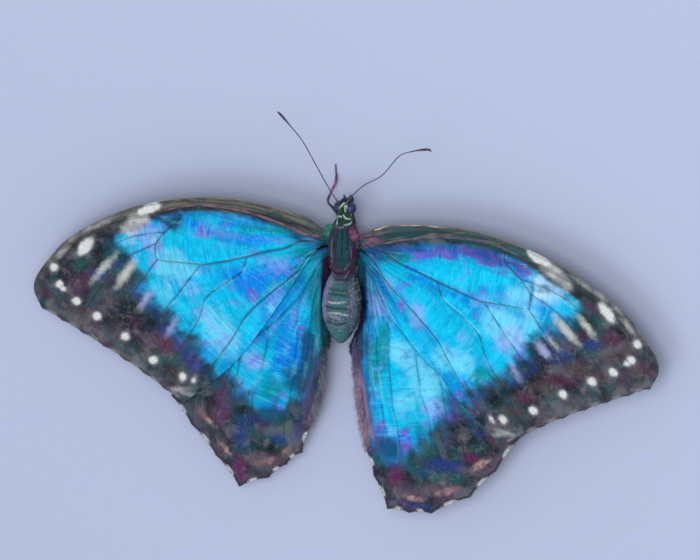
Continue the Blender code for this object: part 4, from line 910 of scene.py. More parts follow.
        # darker and browner towards the tip
        band = s.mix(s.mul(s.smooth(out, 42.0, 52.0), 0.75), band, s.mix(s.smooth(small, 0.4, 0.6), "2c2a34", "544e58"))
        if side == "left":
            band = s.mix(s.mul(s.smooth(out, 9.0, 4.0), 0.7), band, "27504e")
        else:
            band = s.mix(s.mul(s.smooth(out, 9.5, 5.0), s.smooth(small, 0.30, 0.60), 0.95), band, "8a5a78")
        amount = s.mul(s.smooth(s.attr("front"), 3.1, 2.3), s.flip(s.smooth(s.attr("margin"), 7.0, 1.0)))
        colour = s.mix(s.mul(amount, 0.94), colour, band)
        glint = s.smooth(s.add(s.attr("glint"), s.mul(s.math("SUBTRACT", small, 0.5), 0.15)), -0.02, 0.10)

    # veins, their paleness partly a painted highlight along the ridges, with painted highlight and shade along their
    # flanks
    tint = s.mix(shine, "26262e", "074a7c")
    if wing == "forewing":
        pale = s.mix(s.attr("vein_pink"), s.mix(s.smooth(small, 0.35, 0.62), "7f8078" if side == "left" else "62736c", "55565c"),
                     s.mix(s.smooth(small, 0.35, 0.62), "b08496" if side == "left" else "8f8f9c", "6c5a74"))
    else:
        pale = s.mix(s.smooth(small, 0.35, 0.62), "6aa8cc", "6f84b8")
    tint = s.mix(s.mul(s.attr("vein_pale"), 0.9), tint, pale)
    strong = s.blend(s.attr("vein_pale"), s.blend(s.smooth(stroke, 0.38, 0.60), s.blend(shine, 0.46, 0.15), s.blend(shine, 0.72, 0.52)), 0.80)
    colour = s.mix(s.mul(line, strong), colour, tint)
    # painted shade and painted highlight along the veins' flanks, on the blue
    vein_flank_light_shade = s.mul(s.smooth(s.attr("vein"), 0.70, 0.05), shine)
    colour = s.mix(s.mul(vein_flank_light_shade, s.smooth(stroke, 0.35, 0.65), 0.30), colour, "0560a4")
    colour = s.mix(s.mul(vein_flank_light_shade, s.smooth(stroke, 0.50, 0.38), 0.28), colour, "7ce0f8")

    # streaks, cream patches and white spots
    fuzz = s.mul(s.math("SUBTRACT", s.noise(plan, 1.1, 2, 0.5), 0.5), 0.9)
    fine = s.mul(s.math("SUBTRACT", grain, 0.5), 0.35)
    if wing == "forewing":
        colour = s.mix(s.mul(glint, 0.95), colour, s.mix(s.smooth(small, 0.4, 0.6), "cdb88e", "f0ead2"))
        streak = s.smooth(s.add(s.attr("streak"), fuzz, fine), -0.70, 0.62)
        hue = s.mix(s.smooth(out, 41.5, 43.5), "b4bcec", "ccd4ce")
        colour = s.mix(s.mul(streak, s.blend(s.smooth(out, 36.0, 44.0), 0.55, 0.82)), colour, hue)
        cream = s.smooth(s.add(s.attr("cream"), s.mul(fuzz, 0.7)), -0.80, 0.60)
        colour = s.mix(s.mul(cream, 0.80), colour, s.mix(s.smooth(small, 0.40, 0.62), "a9acb2", "c8ccce"))
        halo = s.smooth(s.add(s.attr("white"), fuzz), -0.85, 0.1)
        colour = s.mix(s.mul(halo, 0.35), colour, "8a8a94")
        white = s.smooth(s.add(s.attr("white"), s.mul(fuzz, 0.7), s.mul(fine, 0.6)), -0.34, 0.34)
        colour = s.mix(s.mul(white, 0.93), colour, s.mix(s.smooth(grain, 0.3, 0.7), "d2d8da", "e8ecec"))
        # the dark veins still cross the pale patches near the front edge
        crossing = s.mul(line, s.smooth(s.attr("margin"), 3.0, 6.0), s.flip(s.mul(s.attr("vein_pale"), 0.4)))
        colour = s.mix(s.mul(crossing, 0.55), colour, "35343a")
    else:
        peach = s.smooth(s.add(s.attr("streak"), fuzz, fine), -0.42, 0.42)
        colour = s.mix(s.mul(peach, 0.72), colour, s.mix(s.smooth(small, 0.4, 0.6), "8c6c74", "c8a49e"))
        fold = s.mul(s.smooth(s.add(s.attr("blue"), s.mul(s.math("SUBTRACT", small, 0.5), 0.8)), 0.0, -1.1),
                     s.smooth(s.attr("margin"), 2.0, 4.0), s.smooth(s.attr("edge"), 3.2, 1.9))
        place_of = s.node("ShaderNodeSeparateXYZ")
        s.put(place_of.inputs[0], plan)
        rear = s.smooth(s.add(place_of.outputs[1], s.mul(s.math("SUBTRACT", small, 0.5), 8.0)), 20.0, 30.0)
        # the fold is dark at the front with painted shade beside the body, and mauve grey behind
        if side == "left":
            hue = s.mix(rear, "14383c", s.mix(s.smooth(stroke, 0.40, 0.62), "233c54", "504a66"))
        else:
            hue = s.mix(rear, "2c3248", s.mix(s.smooth(stroke, 0.40, 0.62), "5a4868", "8a7698"))
        # painted shade on the hindwing where it lies beside the body
        shade_beside_body = s.mul(s.smooth(s.add(s.attr("edge"), s.mul(s.math("SUBTRACT", small, 0.5), 1.0)), 1.15, 0.30),
                            s.smooth(place_of.outputs[1], 27.0, 21.0), s.smooth(place_of.outputs[0], 8.5, 7.0))
        colour = s.mix(s.mul(shade_beside_body, 0.85), colour, "0c4450" if side == "left" else "0b2452")
        colour = s.mix(s.mul(fold, 0.9), colour, hue)

    # the outermost rim, dusky at the veins' ends
    rim = s.smooth(s.add(s.attr("margin"), s.mul(fine, 0.5)), 0.50, 0.15)
    if wing == "forewing":
        hue = s.mix(s.smooth(s.attr("hollow"), 0.35, 0.9), "4c4854", "807f88")
        colour = s.mix(s.mul(rim, 0.7), colour, hue)
    else:
        hue = s.mix(s.smooth(s.attr("hollow"), 0.72, 0.98), "34313f", "c6c8ce")
        colour = s.mix(s.mul(rim, 0.8), colour, hue)

    # the surface: rows of scales, ripples and a silky gloss in the blue's own hue
    rows = s.cells(s.scaled(flow, (5.2, 3.4, 1.0)), 1.0)
    relief = s.bump(rows, 0.05, 0.35)
    relief = s.bump(ripple, 0.20, 0.5, relief)
    relief = s.bump(grain, 0.06, 0.5, relief)
    rough = s.blend(shine, 0.72, s.blend(s.smooth(mid, 0.35, 0.65), 0.38, 0.50))
    return s.finish(colour, rough, relief, Metallic=s.mul(shine, 0.52), Specular_IOR_Level=0.06)


def wing_underside(wing, side):
    s = Shader(f"{wing} {side}, underside")
    plan, flow = s.attr("plan", "Vector"), s.attr("flow", "Vector")
    mid = s.noise(plan, 0.6, 3, 0.6)
    small = s.noise(plan, 1.6, 3, 0.6)
    grain = s.noise(plan, 6.0, 3, 0.6)
    colour = s.mix(s.smooth(mid, 0.36, 0.64), "3b2a20", "5a4130")
    colour = s.mix(s.mul(s.smooth(grain, 0.5, 0.7), 0.35), colour, "7d6148")
    wobble = s.mul(s.math("SUBTRACT", mid, 0.5), 3.0)
    # wavy cream bands across the wing, and ochre and cream lines along its edge
    edge = s.add(s.attr("margin"), s.mul(wobble, 0.15))
    for near, far, hue, amount in ((0.5, 0.9, "b78a4e", 0.8), (1.3, 1.55, "20150f", 0.8), (1.9, 2.5, "c9a970", 0.75), (3.0, 3.3, "20150f", 0.6)):
        line = s.mul(s.smooth(edge, near - 0.15, near), s.smooth(edge, far + 0.15, far))
        colour = s.mix(s.mul(line, amount), colour, hue)
    parts = s.node("ShaderNodeSeparateXYZ")
    s.put(parts.inputs[0], flow)
    reach = s.add(parts.outputs[0], wobble)
    bands = ((8.0, 9.4), (15.5, 17.5), (25.5, 29.0)) if wing == "forewing" else ((6.0, 7.0), (12.0, 14.2), (27.5, 29.0))
    for near, far in bands:
        line = s.mul(s.smooth(reach, near - 0.4, near), s.smooth(reach, far + 0.4, far), s.smooth(s.attr("eyespot"), 1.0, 1.25))
        colour = s.mix(s.mul(line, s.smooth(small, 0.3, 0.6), 0.8), colour, "cdb98d")
    # eyespots: white pupil, black, yellow ring, dark ring
    eye = s.add(s.attr("eyespot"), s.mul(s.math("SUBTRACT", grain, 0.5), 0.06))
    for limit, hue in ((1.18, "8b7a55"), (1.04, "1c120d"), (0.90, "d2a742"), (0.66, "0d0a0a"), (0.30, "6a2f2a"), (0.17, "e8e6de")):
        colour = s.mix(s.smooth(eye, limit + 0.035, limit - 0.035), colour, hue)
    line = s.smooth(s.attr("vein"), 0.14, -0.06)
    colour = s.mix(s.mul(line, 0.7, s.smooth(s.attr("eyespot"), 0.95, 1.1)), colour, "281b14")
    front = s.mul(s.smooth(s.attr("front"), 1.6, 0.6), s.smooth(small, 0.4, 0.6))
    colour = s.mix(s.mul(front, 0.6), colour, "9c8760")
    rows = s.cells(s.scaled(flow, (5.2, 3.4, 1.0)), 1.0)
    relief = s.bump(grain, 0.06, 0.5, s.bump(rows, 0.05, 0.35))
    return s.finish(colour, s.blend(s.smooth(grain, 0.4, 0.6), 0.62, 0.78), relief, Sheen_Weight=0.2, Sheen_Roughness=0.5)


# ============================================================ solid mesh pieces
def mesh_of(name, points, triangles, uv=None, fields=None):
    """A smooth mesh from arrays. uv has one row for each point."""
    mesh = bpy.data.meshes.new(name)
    triangles = np.asarray(triangles, np.int32)
    mesh.vertices.add(len(points))
    mesh.vertices.foreach_set("co", np.asarray(points, np.float32).ravel())
    mesh.loops.add(triangles.size)
    mesh.loops.foreach_set("vertex_index", triangles.ravel())
    mesh.polygons.add(len(triangles))
    mesh.polygons.foreach_set("loop_start", np.arange(0, triangles.size, 3, dtype=np.int32))
    mesh.update(calc_edges=True)
    if uv is not None:
        layer = mesh.uv_layers.new(name="OFBake")
        layer.data.foreach_set("uv", np.asarray(uv, np.float32)[triangles.ravel()].ravel())
    put_fields(mesh, fields or {})
    mesh.shade_smooth()
    return mesh


def show(name, mesh, material, slot, *stands_for):
    made = new_object(name, mesh, material)
    if stands_for:
        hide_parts(*stands_for)
    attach(made, "root")
    return made


def joined(shells):
    """Several (points, triangles, uv, fields) shells as one."""
    points, triangles, uv, fields, start = [], [], [], {}, 0
    for p, t, u, f in shells:
        points.append(p)
        triangles.append(t + start)
        uv.append(u)
        for key, value in f.items():
            fields.setdefault(key, []).append(value)
        start += len(p)
    return np.vstack(points), np.vstack(triangles), np.vstack(uv), {k: np.concatenate(v) for k, v in fields.items()}


def unit(v):
    return v / np.maximum(np.linalg.norm(v, axis=-1, keepdims=True), 1e-12)


PATCH = np.array([(-1, -1), (1, -1), (0, -0.6), (-0.9, 0), (0.9, 0), (0, 0.3), (0, 1)]) * 0.0014
TUFT = np.array([(0, 2, 1), (0, 1, 4), (0, 4, 3), (1, 2, 5), (1, 5, 4), (2, 0, 3), (2, 3, 5), (3, 4, 6), (4, 5, 6), (5, 3, 6)])


def tufts(roots, normals, lie, uv, length, width, lift, curl, seed, stray=0.18, thick=0.5, sunk=0.05, fields=None):
    """Pointed solid locks, in mm: each rises from its root by `lift` radians and bends back down by `curl`."""
    rng = np.random.default_rng(seed)
    n = len(roots)
    length, width, lift, curl = (np.broadcast_to(np.asarray(v, float), n) for v in (length, width, lift, curl))
    length = length * rng.uniform(0.72, 1.22, n)
    width = width * rng.uniform(0.8, 1.2, n)
    lift = lift * rng.uniform(0.6, 1.4, n)
    lie = unit(lie - normals * (lie * normals).sum(1)[:, None])
    across = np.cross(normals, lie)
    swing = rng.normal(0, stray, n)[:, None]
    lie = unit(lie * np.cos(swing) + across * np.sin(swing))
    across = np.cross(normals, lie)
    start = lie * np.cos(lift)[:, None] + normals * np.sin(lift)[:, None]
    end = lie * np.cos(lift - curl)[:, None] + normals * np.sin(lift - curl)[:, None]
    root = roots - normals * sunk
    middle = root + start * (length * 0.5)[:, None]
    tip = middle + end * (length * 0.5)[:, None]
    w = width[:, None]
    points = np.stack(
        [
            root - across * w * 0.5, root + across * w * 0.5, root + normals * w * thick,
            middle - across * w * 0.42, middle + across * w * 0.42, middle + normals * w * thick * 0.8,
            tip,
        ],
        1,
    ).reshape(-1, 3)
    triangles = (TUFT[None] + 7 * np.arange(n)[:, None, None]).reshape(-1, 3)
    patch = (uv[:, None] + PATCH[None]).reshape(-1, 2)
    carried = {key: np.repeat(value, 7, axis=0) for key, value in (fields or {}).items()}
    carried["tip"] = np.tile([0, 0, 0, 0.5, 0.5, 0.5, 1.0], n)
    carried["own"] = np.repeat(rng.uniform(0, 1, n), 7)
    return points, triangles, patch, carried


def tube(run, radius, sides, uv_low=(0.0, 0.0), uv_high=(1.0, 1.0), flat=1.0):
    """A closed tapering tube along a run of points: (points, triangles, uv, fields)."""
    ahead = unit(np.gradient(run, axis=0))
    first = np.cross(ahead[0], (0.3, 0.2, 1.0))
    across = [unit(first)]
    for a in ahead[1:]:
        last = across[-1] - a * across[-1].dot(a)
        across.append(unit(last))
    across = np.array(across)
    above = np.cross(ahead, across)
    turn = np.arange(sides) / sides * 2 * math.pi
    ring = across[:, None] * np.cos(turn)[None, :, None] + above[:, None] * np.sin(turn)[None, :, None] * flat
    points = (run[:, None] + ring * radius[:, None, None]).reshape(-1, 3)
    points = np.vstack([points, run[0] - ahead[0] * radius[0] * 0.4, run[-1] + ahead[-1] * radius[-1] * 0.6])
    rings = len(run)
    i, k = np.meshgrid(np.arange(rings - 1), np.arange(sides), indexing="ij")
    a, b = i * sides + k, i * sides + (k + 1) % sides
    c, d = a + sides, b + sides
    triangles = [np.stack([a, b, d], -1).reshape(-1, 3), np.stack([a, d, c], -1).reshape(-1, 3)]
    k = np.arange(sides)
    start, end = rings * sides, rings * sides + 1
    triangles.append(np.stack([(k + 1) % sides, k, np.full(sides, start)], 1))
    last = (rings - 1) * sides
    triangles.append(np.stack([last + k, last + (k + 1) % sides, np.full(sides, end)], 1))
    gaps = np.linalg.norm(np.diff(run, axis=0), axis=1)
    share = np.concatenate([[0], np.cumsum(gaps)])
    length = share[-1]
    share = share / length
    u = np.tile(np.abs(2 * np.arange(sides) / sides - 1), rings)
    v = np.repeat(share, sides)
    u, v = np.concatenate([u, [0.5, 0.5]]), np.concatenate([v, [0.0, 1.0]])
    low, high = np.array(uv_low), np.array(uv_high)
    uv = low + (high - low) * np.stack([u, v], 1)
    fields = {"share": v, "tip": np.zeros(len(points)), "own": np.full(len(points), 0.5)}
    return points, np.vstack(triangles), uv, fields


def in_frame(points):
    """Points (out to the left, back, height) in millimetres, as points of the frame."""
    return place(points[:, 0], points[:, 1], points[:, 2])


# ============================================================ the body's shape
# Trunk sections: (back, half width, half height, height above the axis, out to the left)
TRUNK = [
    (-8.15, 0.30, 0.35, -0.95, -0.05), (-8.00, 0.75, 0.85, -0.92, -0.05), (-7.60, 1.15, 1.25, -0.88, -0.05),
    (-6.90, 1.50, 1.55, -0.82, -0.05), (-6.10, 1.62, 1.70, -0.76, -0.05), (-5.30, 1.64, 1.64, -0.66, -0.04),
    (-4.60, 1.70, 1.62, -0.54, -0.03), (-4.10, 1.86, 1.80, -0.42, -0.02), (-3.50, 2.22, 2.20, -0.27, 0.00),
    (-2.50, 2.80, 2.85, -0.10, 0.00), (-1.00, 3.12, 3.35, 0.00, 0.00), (1.00, 3.18, 3.50, 0.05, 0.00),
    (3.00, 3.10, 3.40, 0.05, 0.00), (4.80, 2.85, 3.05, 0.00, 0.00), (6.00, 2.50, 2.60, -0.15, 0.02),
    (6.90, 2.55, 2.60, -0.20, 0.04), (8.00, 3.05, 3.05, -0.15, 0.06), (9.60, 3.55, 3.55, -0.05, 0.10),
    (11.60, 3.88, 3.85, 0.00, 0.16), (13.60, 3.90, 3.85, 0.00, 0.26), (15.50, 3.60, 3.55, -0.10, 0.38),
    (17.30, 3.05, 3.00, -0.30, 0.52), (18.90, 2.30, 2.30, -0.55, 0.66), (20.20, 1.45, 1.50, -0.80, 0.80),
    (21.00, 0.75, 0.80, -0.95, 0.88), (21.25, 0.30, 0.35, -1.00, 0.90),
]
TRUNK_RUN = catmull_rom(TRUNK, 24)
# How deep the skin lies under the coat, at places along the back
COAT_DEPTH = np.array([(-8.2, 0.12), (-7.5, 0.26), (-4.6, 0.28), (-3.5, 0.42), (5.5, 0.42), (7.0, 0.22), (9.0, 0.14), (20.0, 0.12), (21.2, 0.05)])
TERGITES = (6.5, 8.85, 11.28, 13.57, 16.0, 18.2, 20.0)  # front edges of the abdomen's rings
EYE = {"out": 1.25, "back": -6.35, "height": 7.2, "radii": (0.95, 1.15, 1.25)}
TEGULA = {"out": 2.30, "back": -1.80, "height": 9.05, "radii": (1.18, 1.42, 0.86)}


def swell(value, middle, width):
    return np.exp(-(((value - middle) / width) ** 2))


def trunk_section(back):
    return [np.interp(back, TRUNK_RUN[:, 0], TRUNK_RUN[:, i]) for i in (1, 2, 3, 4)]


def trunk_relief(back, turn):
    """Folds, lobes and rings of the skin, in mm off the plain sections. turn is 0 on top and grows to the left."""
    wide = trunk_section(back)[0]
    away = np.abs(turn)
    x = wide * np.sin(turn)
    top = np.clip(np.cos(turn), 0, 1)
    d = -0.09 * swell(back, -4.38, 0.22)  # neck
    d += 0.14 * swell(back, -3.72, 0.32) * swell(away, 0.60, 0.42)  # collar lobes
    d -= 0.08 * swell(back, -3.22, 0.12) * top
    # head: a groove between brow and crown, cheeks, and a furrow down the middle
    d -= 0.07 * swell(back, -6.95, 0.14) * top
    d -= 0.06 * swell(x, 0.0, 0.12) * top * np.clip((-4.6 - back) / 0.6, 0, 1)
    d += 0.08 * swell(back, -5.4, 0.5) * swell(away, 0.5, 0.4)
    # the shield of the middle thorax, its furrow and side seams
    shield = np.clip((back + 3.2) / 0.8, 0, 1) * np.clip((2.9 - back) / 0.5, 0, 1)
    d += 0.10 * shield * top
    d -= 0.10 * swell(x, 0.0, 0.11) * shield * top
    seam = 1.45 - 0.13 * (back + 2.6)
    d -= 0.09 * (swell(x, seam, 0.12) + swell(x, -seam, 0.12)) * shield * top
    d -= 0.20 * swell(back, 3.05, 0.16) * top
    d += 0.24 * swell(back, 3.75, 0.50) * swell(x, 0.0, 1.25) * top  # scutellum
    d -= 0.16 * swell(back, 4.55, 0.15)
    d += 0.08 * swell(back, 5.25, 0.5) * top
    d -= 0.14 * swell(back, 6.42, 0.20)
    # plates of the sides, split by slanting seams
    flank = np.clip(1 - np.abs(away - 1.95) / 0.75, 0, 1)
    for start, slant in ((-2.2, 0.6), (-0.6, 0.8), (1.5, 0.7), (3.3, 0.4)):
        d -= 0.11 * swell(back, start + slant * (away - 1.6), 0.13) * flank * (back < 5.2)
    # hips, where the legs grow
    for hip in (-2.4, 0.75, 3.7):
        d += (0.30 if hip > 0 else 0.18) * swell(back, hip, 0.75) * swell(away, 2.62, 0.34)
    d -= 0.25 * swell(away, math.pi, 0.16) * (back > -3.2) * (back < 4.6)
    # the abdomen's rings: each swells and steps down on to the next
    ring = np.zeros_like(d)
    bounds_of = list(TERGITES) + [21.6]
    for a, b in zip(bounds_of, bounds_of[1:]):
        t = (back - a) / (b - a)
        inside = (t >= 0) & (t < 1)
        step = 0.10 * np.clip(t, 0, 1) ** 0.7 - 0.05
        step = np.where(b - back < 0.10, step * np.clip((b - back) / 0.10, 0, 1), step)
        ring += np.where(inside, step, 0)
    d += ring * np.clip((20.6 - back) / 0.8, 0.15, 1)
    d -= 0.10 * swell(away, 1.85, 0.07) * np.clip((back - 7.0) / 0.6, 0, 1) * np.clip((19.4 - back) / 0.8, 0, 1)
    return d


def trunk_point(back, turn):
    wide, high, lift, left = trunk_section(back)
    off = trunk_relief(back, turn) - np.interp(back, *COAT_DEPTH.T)
    x = left + np.maximum(wide + off, 0.04) * np.sin(turn)
    z = AXIS_HEIGHT + lift + np.maximum(high + off, 0.04) * np.cos(turn)
    return np.stack([x, back, z], -1)


def trunk_frame(back, turn):
    """Points of the skin with their normals and the way backwards along it."""
    p = trunk_point(back, turn)
    along = trunk_point(back + 0.03, turn) - trunk_point(back - 0.03, turn)
    around = trunk_point(back, turn + 0.02) - trunk_point(back, turn - 0.02)
    return p, unit(np.cross(along, around)), unit(along)


def trunk_uv(back, turn):
    return np.stack([0.01 + 0.98 * (turn / (2 * math.pi) + 0.5), 0.01 + 0.98 * (back + 8.3) / 29.7], 1)


# ------------------------------------------------------------ markings of the body
# Lines through (turn in degrees to the left, back)
MINT_LINES = [
    [(-7, -7.50), (14, -7.05), (41, -6.30), (60, -5.5), (64, -4.75)],
    [(-23, -7.45), (-36, -6.87), (-52, -6.16), (-80, -5.3), (-93, -5.1)],
    [(66, -4.70), (34, -4.90), (9, -4.98)],
    [(-10, -5.30), (-20, -4.95), (-36, -4.62), (-84, -4.40)],
    [(-16, -6.95), (-24, -6.1)],
    [(-20, -3.52), (-44, -3.66), (-70, -3.76), (-88, -4.0)],
    [(24, -3.60), (40, -4.10), (58, -4.50)],
]
DARK_LINES = [
    [(8, -3.0), (6, -1.2), (2, 0.4)], [(-40, -3.0), (-39, -1.0), (-37, 0.8)], [(12, -0.7), (11, 0.4), (9, 2.2)],
    [(-18, -2.8), (-18, 2.6)], [(-52, 0.6), (-50, 2.6), (-44, 4.0)], [(38, 0.6), (36, 3.0)],
    [(40, 6.9), (12, 7.2), (-30, 7.15), (-75, 6.8)], [(30, 9.05), (-4, 9.0), (-44, 9.05)], [(30, 10.0), (-4, 9.9), (-40, 10.0)],
    [(34, 12.6), (0, 12.5), (-36, 12.6)], [(30, 14.9), (-6, 15.1)], [(34, 15.65), (0, 15.95), (-34, 15.6)],
]
PALE_LINES = [
    [(26, -0.9), (31, 1.0), (30, 3.0), (24, 4.6)], [(44, 4.4), (58, 5.8), (67, 7.0)],
    [(16, 5.45), (-4, 5.35), (-23, 5.0), (-37, 4.44), (-50, 3.4)], [(-25, 6.9), (-40, 6.2), (-50, 5.2)],
    [(-51, 0.4), (-54, 1.6), (-55, 2.8)], [(14, -3.15), (-3, -3.15), (-16, -3.2)],
    [(48, 7.4), (14, 7.65), (-20, 7.6)], [(44, 16.1), (14, 16.8), (-22, 16.6), (-44, 15.8)], [(36, 17.1), (6, 17.9), (-26, 17.4)],
    [(-50, 8.2), (-54, 10.4), (-52, 12.6)],
]
WHITE_BANDS = [[(26, 11.42), (14, 11.55), (2, 11.42), (-10, 11.36), (-28, 11.20)], [(24, 13.75), (8, 13.58), (-10, 13.56), (-24, 13.72), (-38, 13.95)]]
# Soft patches: (turn, back, radius round the body, radius along it, weight)
BODY_PATCHES = {
    "teal": [(-16, -1.2, 1.9, 2.2, 1.0), (-18, 2.4, 1.6, 3.0, 1.0), (-6, 9.2, 2.0, 2.4, 0.9), (-6, 12.5, 1.8, 2.2, 0.7), (64, 0.9, 0.9, 1.2, 0.7), (70, 4.0, 0.8, 1.6, 0.5)],
    "maroon": [(-6, 6.2, 1.6, 0.7, 1.0), (-14, 7.6, 1.9, 0.8, 0.55), (-30, 9.0, 0.8, 1.0, 0.4), (-45, 5.6, 1.6, 1.4, 0.9), (14, 0.2, 0.45, 1.2, 0.9), (40, 5.0, 1.0, 2.0, 0.6), (-36, -1.6, 0.5, 1.6, 0.5), (-90, 3.0, 1.4, 3.0, 0.6)],
    "magenta": [(-68, 1.85, 0.80, 1.35, 1.2), (-46, -2.6, 0.8, 0.5, 0.6)],
    "mauve": [(52, 11.5, 1.7, 4.2, 1.0), (40, 8.3, 1.2, 1.6, 0.9), (0, 14.7, 1.5, 0.9, 0.9), (28, 2.0, 0.5, 2.4, 0.8), (30, -3.3, 0.9, 0.35, 0.9), (50, 14.8, 1.2, 1.4, 0.6), (60, -4.0, 0.5, 0.5, 0.8)],
    # where the right flank is speckled with painted highlights
    "speck": [(-66, 8.4, 1.5, 2.6, 1.0), (-62, 12.6, 1.9, 3.0, 1.2), (-72, 15.8, 1.2, 1.6, 1.0), (-70, 17.4, 0.8, 1.2, 0.8)],
    "rust": [(16, 10.9, 0.35, 0.5, 1.0), (31, 12.4, 0.4, 0.6, 0.8), (52, 5.4, 0.4, 1.3, 1.0), (62, -0.1, 0.4, 0.6, 0.4)],
    "tip": [(-6, 18.6, 1.9, 1.5, 1.3), (0, 20.4, 1.8, 1.2, 1.3), (52, 15.6, 0.8, 1.2, 0.6), (-30, 14.6, 0.8, 0.8, 0.5)],
}


def unrolled(turn, back):
    """Places on the trunk laid flat: mm round from the middle of the back, and back."""
    return np.stack([turn * np.maximum(trunk_section(back)[0], 0.8), back], -1)


def body_fields(back, turn):
    p = unrolled(turn, back)
    fields = {"back": back, "side": np.sin(turn), "up": np.cos(turn)}
    for name, lines in (("mint", MINT_LINES), ("dark", DARK_LINES), ("paleline", PALE_LINES), ("white", WHITE_BANDS)):
        best = np.full(len(p), 9.0)
        for line in lines:
            line = np.array(line, float)
            run = smooth_run(unrolled(np.radians(line[:, 0]), line[:, 1]), 0.15)
            low, high = run.min(0) - 1.2, run.max(0) + 1.2
            near = ((p > low) & (p < high)).all(1)
            if near.any():
                d, k, t, _ = nearest(p[near], run)
                ends = (k + t) / (len(run) - 1)
                if name == "white":  # brightest in the middle of the band
                    d = d + 0.10 * np.abs(2 * ends - 1) ** 2
                best[near] = np.minimum(best[near], d)
        fields[name] = best
    for name, patches in BODY_PATCHES.items():
        total = np.zeros(len(p))
        for turn_at, back_at, round_by, along_by, weight in patches:
            q = math.radians(turn_at) * max(float(trunk_section(back_at)[0]), 0.8)
            total += weight * np.exp(-(((p[:, 0] - q) / round_by) ** 2) - ((p[:, 1] - back_at) / along_by) ** 2)
        fields[name] = np.clip(total, 0, 1.3)
    return fields


def body_colour(s, mm):
    """The colour that skin and coat share, from the markings each point carries."""
    back, up = s.attr("back"), s.attr("up")
    mid = s.noise(mm, 0.8, 2, 0.5)
    small = s.noise(mm, 2.2, 2, 0.5)
    fine = s.noise(mm, 6.0, 2, 0.5)
    wobble = s.mul(s.math("SUBTRACT", small, 0.5), 0.7)

    def patch(name, low=0.25, high=0.85):
        return s.smooth(s.add(s.attr(name), wobble), low, high)

    # head
    head = s.mix(s.smooth(small, 0.35, 0.65), "1c332c", "3a5f50")
    head = s.mix(s.mul(s.smooth(mid, 0.52, 0.64), 0.5), head, "54765c")
    head = s.mix(s.mul(s.smooth(back, -7.1, -7.8), 0.7), head, "26304e")
    head = s.mix(s.smooth(up, 0.1, -0.5), head, "5b544c")
    head = s.mix(s.mul(s.smooth(s.add(s.attr("mint"), s.mul(s.math("SUBTRACT", fine, 0.5), 0.10)), 0.23, 0.09), 0.97), head, "ccf4e0")
    # thorax
    thorax = s.mix(s.smooth(small, 0.35, 0.65), "3a3c54", "5c4c6c")
    thorax = s.mix(s.smooth(up, 0.2, -0.4), thorax, s.mix(s.smooth(small, 0.4, 0.6), "4a3d38", "6a5a4c"))
    thorax = s.mix(s.mul(patch("teal"), 0.92), thorax, s.mix(s.smooth(fine, 0.35, 0.65), "124454", "2c7684"))
    thorax = s.mix(s.mul(patch("maroon"), 0.85), thorax, "482442")
    thorax = s.mix(s.mul(patch("mauve"), 0.80), thorax, "7f7890")
    thorax = s.mix(s.mul(patch("magenta"), 0.95), thorax, "701656")
    # abdomen
    belly = s.mix(s.smooth(small, 0.35, 0.65), "4a7488", "7ca6b6")
    belly = s.mix(s.smooth(up, -0.15, -0.6), belly, s.mix(s.smooth(small, 0.4, 0.6), "9b8d78", "b7a88f"))
    belly = s.mix(s.mul(s.smooth(s.attr("side"), -0.35, -0.8), s.smooth(up, -0.5, 0.1), 0.8), belly, "58608a")
    # painted shade along the abdomen's far right flank
    belly = s.mix(s.mul(s.smooth(s.attr("side"), -0.86, -0.97), 0.85), belly, "0c1230")
    belly = s.mix(s.mul(patch("teal"), 0.85), belly, s.mix(s.smooth(fine, 0.35, 0.65), "44808e", "6aa8b2"))
    belly = s.mix(s.mul(patch("mauve"), 0.85), belly, s.mix(s.smooth(small, 0.35, 0.6), "9c98cc", "c4c4f0"))
    belly = s.mix(s.mul(patch("tip"), 0.92), belly, s.mix(s.smooth(fine, 0.35, 0.65), "0f7a70", "1fb8a0"))
    belly = s.mix(s.mul(patch("maroon"), 0.8), belly, "553a5c")
    colour = s.mix(s.smooth(s.add(back, wobble), 6.1, 6.9), thorax, belly)
    colour = s.mix(s.smooth(back, -3.62, -3.42), head, colour)
    # lines on thorax and abdomen
    bend = s.mul(s.math("SUBTRACT", fine, 0.5), 0.20)
    behind = s.smooth(back, -3.6, -3.3)
    colour = s.mix(s.mul(s.smooth(s.add(s.attr("dark"), bend), 0.26, 0.06), 0.62, behind), colour, "1a1e2c")
    colour = s.mix(s.mul(s.smooth(s.add(s.attr("paleline"), bend), 0.26, 0.06), 0.60, behind), colour, "8f9cab")
    colour = s.mix(s.mul(patch("rust"), 0.75), colour, "a0606c")
    colour = s.mix(s.mul(s.smooth(s.add(s.attr("dark"), s.mul(bend, 1.6)), 0.55, 0.20), s.smooth(back, 6.8, 7.6), 0.22), colour, "2a2c44")
    colour = s.mix(s.mul(s.smooth(s.add(s.attr("white"), s.mul(bend, 0.6)), 0.30, 0.10), 0.98), colour, "f6ffff")
    return colour, small, fine


def skin_material():
    s = Shader("body skin")
    mm = s.scaled(s.position(), (1000.0, 1000.0, 1000.0))
    colour, small, fine = body_colour(s, mm)
    # painted highlights: bright specks on the right flank
    dots = s.cells(mm, 2.6)
    speck = s.mul(s.smooth(dots, 0.30, 0.18), s.smooth(s.attr("speck"), 0.2, 0.7))
    colour = s.mix(s.mul(speck, 0.9), colour, "dfe6ea")
    scales = s.cells(mm, 9.0)
    relief = s.bump(scales, 0.05, 0.4, s.bump(fine, 0.06, 0.5))
    return s.finish(colour, 0.62, relief, Specular_IOR_Level=0.12, Sheen_Weight=0.04, Sheen_Roughness=0.4)


